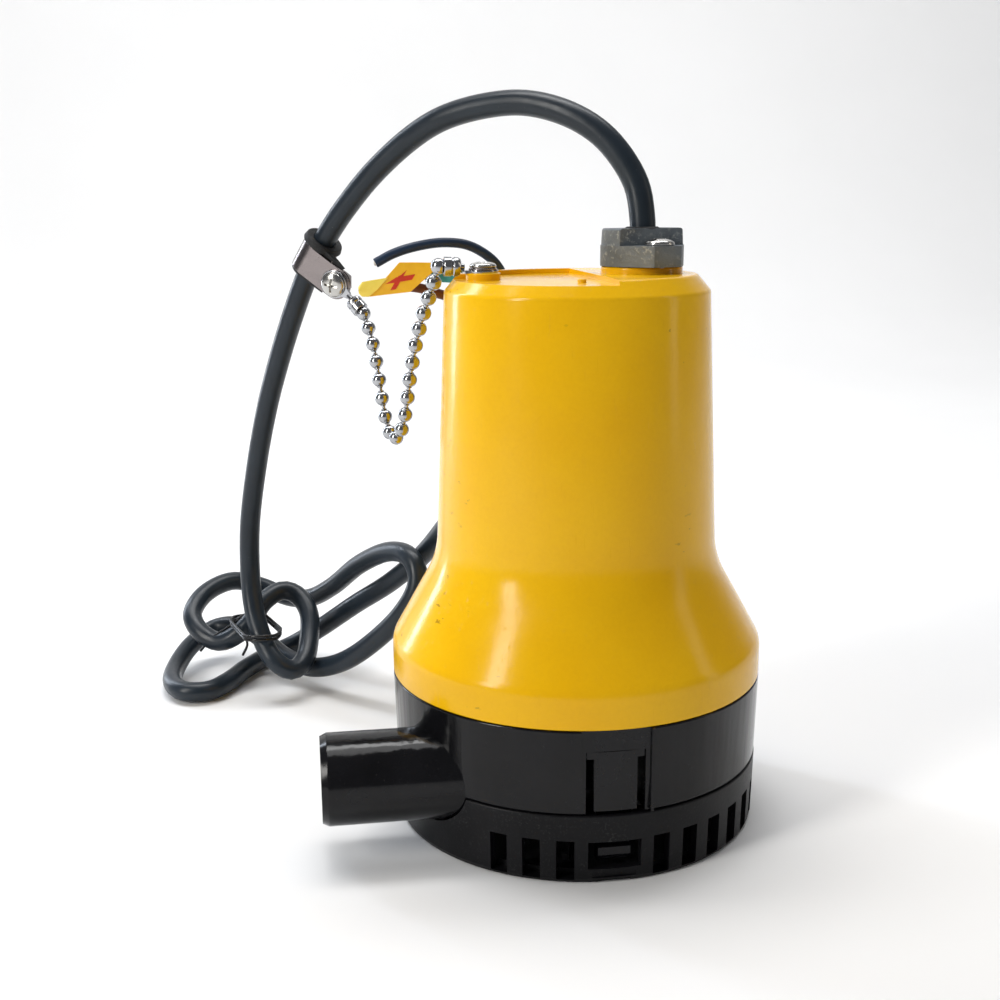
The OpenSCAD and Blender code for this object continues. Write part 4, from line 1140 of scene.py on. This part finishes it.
beads = bead_centres()
chain(beads)
coupling(
    "coupling_anchor_barrel", "chain_coupling_anchor", beads[0],
    Vector((ANCHOR_X - 5.2, 0, ANCHOR_Z + TERMINAL_T + 0.9)))
eye = turned([(2.1, 0, 0.1), (4.7, 0, 0.15), (4.7, COUPLING_T, 0.25), (2.1, COUPLING_T, 0.1)], 72, 3)
tongue = [(3.8, -2), (5.4, -1.4), (6.4, -1.1), (6.4, 1.1), (5.4, 1.4), (3.8, 2)]
coupling(
    "coupling_clip_barrel", "chain_coupling_clip", beads[-1],
    CLIP_AT + CLIP_TAIL * (CLIP_SCREW_X + 6) + CLIP_FACE * (BAND_R + COUPLING_T / 2),
    placed(eye, on_clip(BAND_R)), placed(prism(tongue, 0.03, COUPLING_T - 0.03), on_clip(BAND_R)))
band = clip_band()
cushion = clip_cushion()
screw_place = on_clip(BAND_R + COUPLING_T) @ spin(25)
clip_screw = pan_screw("clip_pan_screw", 4.2, 2.2, 2.0, 6.6, [screw_place], "cable_clip_screw")
nut = clip_nut()


# ---- floor and light

WALL_Y = 1500
FLOOR_Z = -0.15
CURVE_R = 700
FLOOR_SIDE = 12000
WALL_TOP = 6000
AIM = (-0.02, 0.02, 0.09)


def soft_box(name, place, width, height, power, colour=(1, 1, 1), aim=AIM):
    data = bpy.data.lights.new(name, "AREA")
    data.shape = "RECTANGLE"
    data.size, data.size_y = width, height
    data.energy = power
    data.color = colour
    lamp = bpy.data.objects.new(name, data)
    lamp.location = place
    lamp.visible_camera = False
    lamp.rotation_euler = (Vector(aim) - Vector(place)).to_track_quat("-Z", "Y").to_euler()
    scene.collection.objects.link(lamp)


def backdrop():
    """A pale floor that curves up into a back wall."""
    curve = arc(CURVE_R, -90, 0, 24, WALL_Y - CURVE_R, FLOOR_Z + CURVE_R)
    line = [(-FLOOR_SIDE, FLOOR_Z), (0, FLOOR_Z), *curve, (WALL_Y, WALL_TOP)]
    vertices = [(x, y, z) for y, z in line for x in (-FLOOR_SIDE, FLOOR_SIDE)]
    faces = [[2 * k, 2 * k + 1, 2 * k + 3, 2 * k + 2] for k in range(len(line) - 1)]
    piece = mesh_object("backdrop", (vertices, faces), body=None)
    material, tree, shade = shader("backdrop_paper")
    base = mix(ramp(noise(tree, 3, 3), 0.3, 0.7), (0.86, 0.86, 0.86, 1), (0.89, 0.89, 0.89, 1))
    feed(shade, Base_Color=base, Roughness=0.85)
    piece.data.materials.append(material)


backdrop()
soft_box("key", (-0.99, -0.50, 0.60), 0.22, 0.8, 8.0, (1.0, 0.98, 0.94))
soft_box("rim_strip", (-0.60, 0.62, 0.40), 0.08, 0.8, 3.0, (0.80, 0.88, 1.0))
soft_box("fill", (0.95, -0.25, 0.4), 0.15, 0.8, 0.7, (1.0, 0.90, 0.75))
soft_box("top", (-0.1, 0.1, 1.2), 0.5, 0.5, 3)
soft_box("wall_wash", (0, 0.5, 1.9), 2.2, 0.5, 28, aim=(0, 1.3, 0.2))
world = bpy.data.worlds.new("surroundings")
scene.world = world
world.use_nodes = True
feed(world.node_tree.nodes["Background"], Color=(0.93, 0.95, 1.0, 1), Strength=0.16)
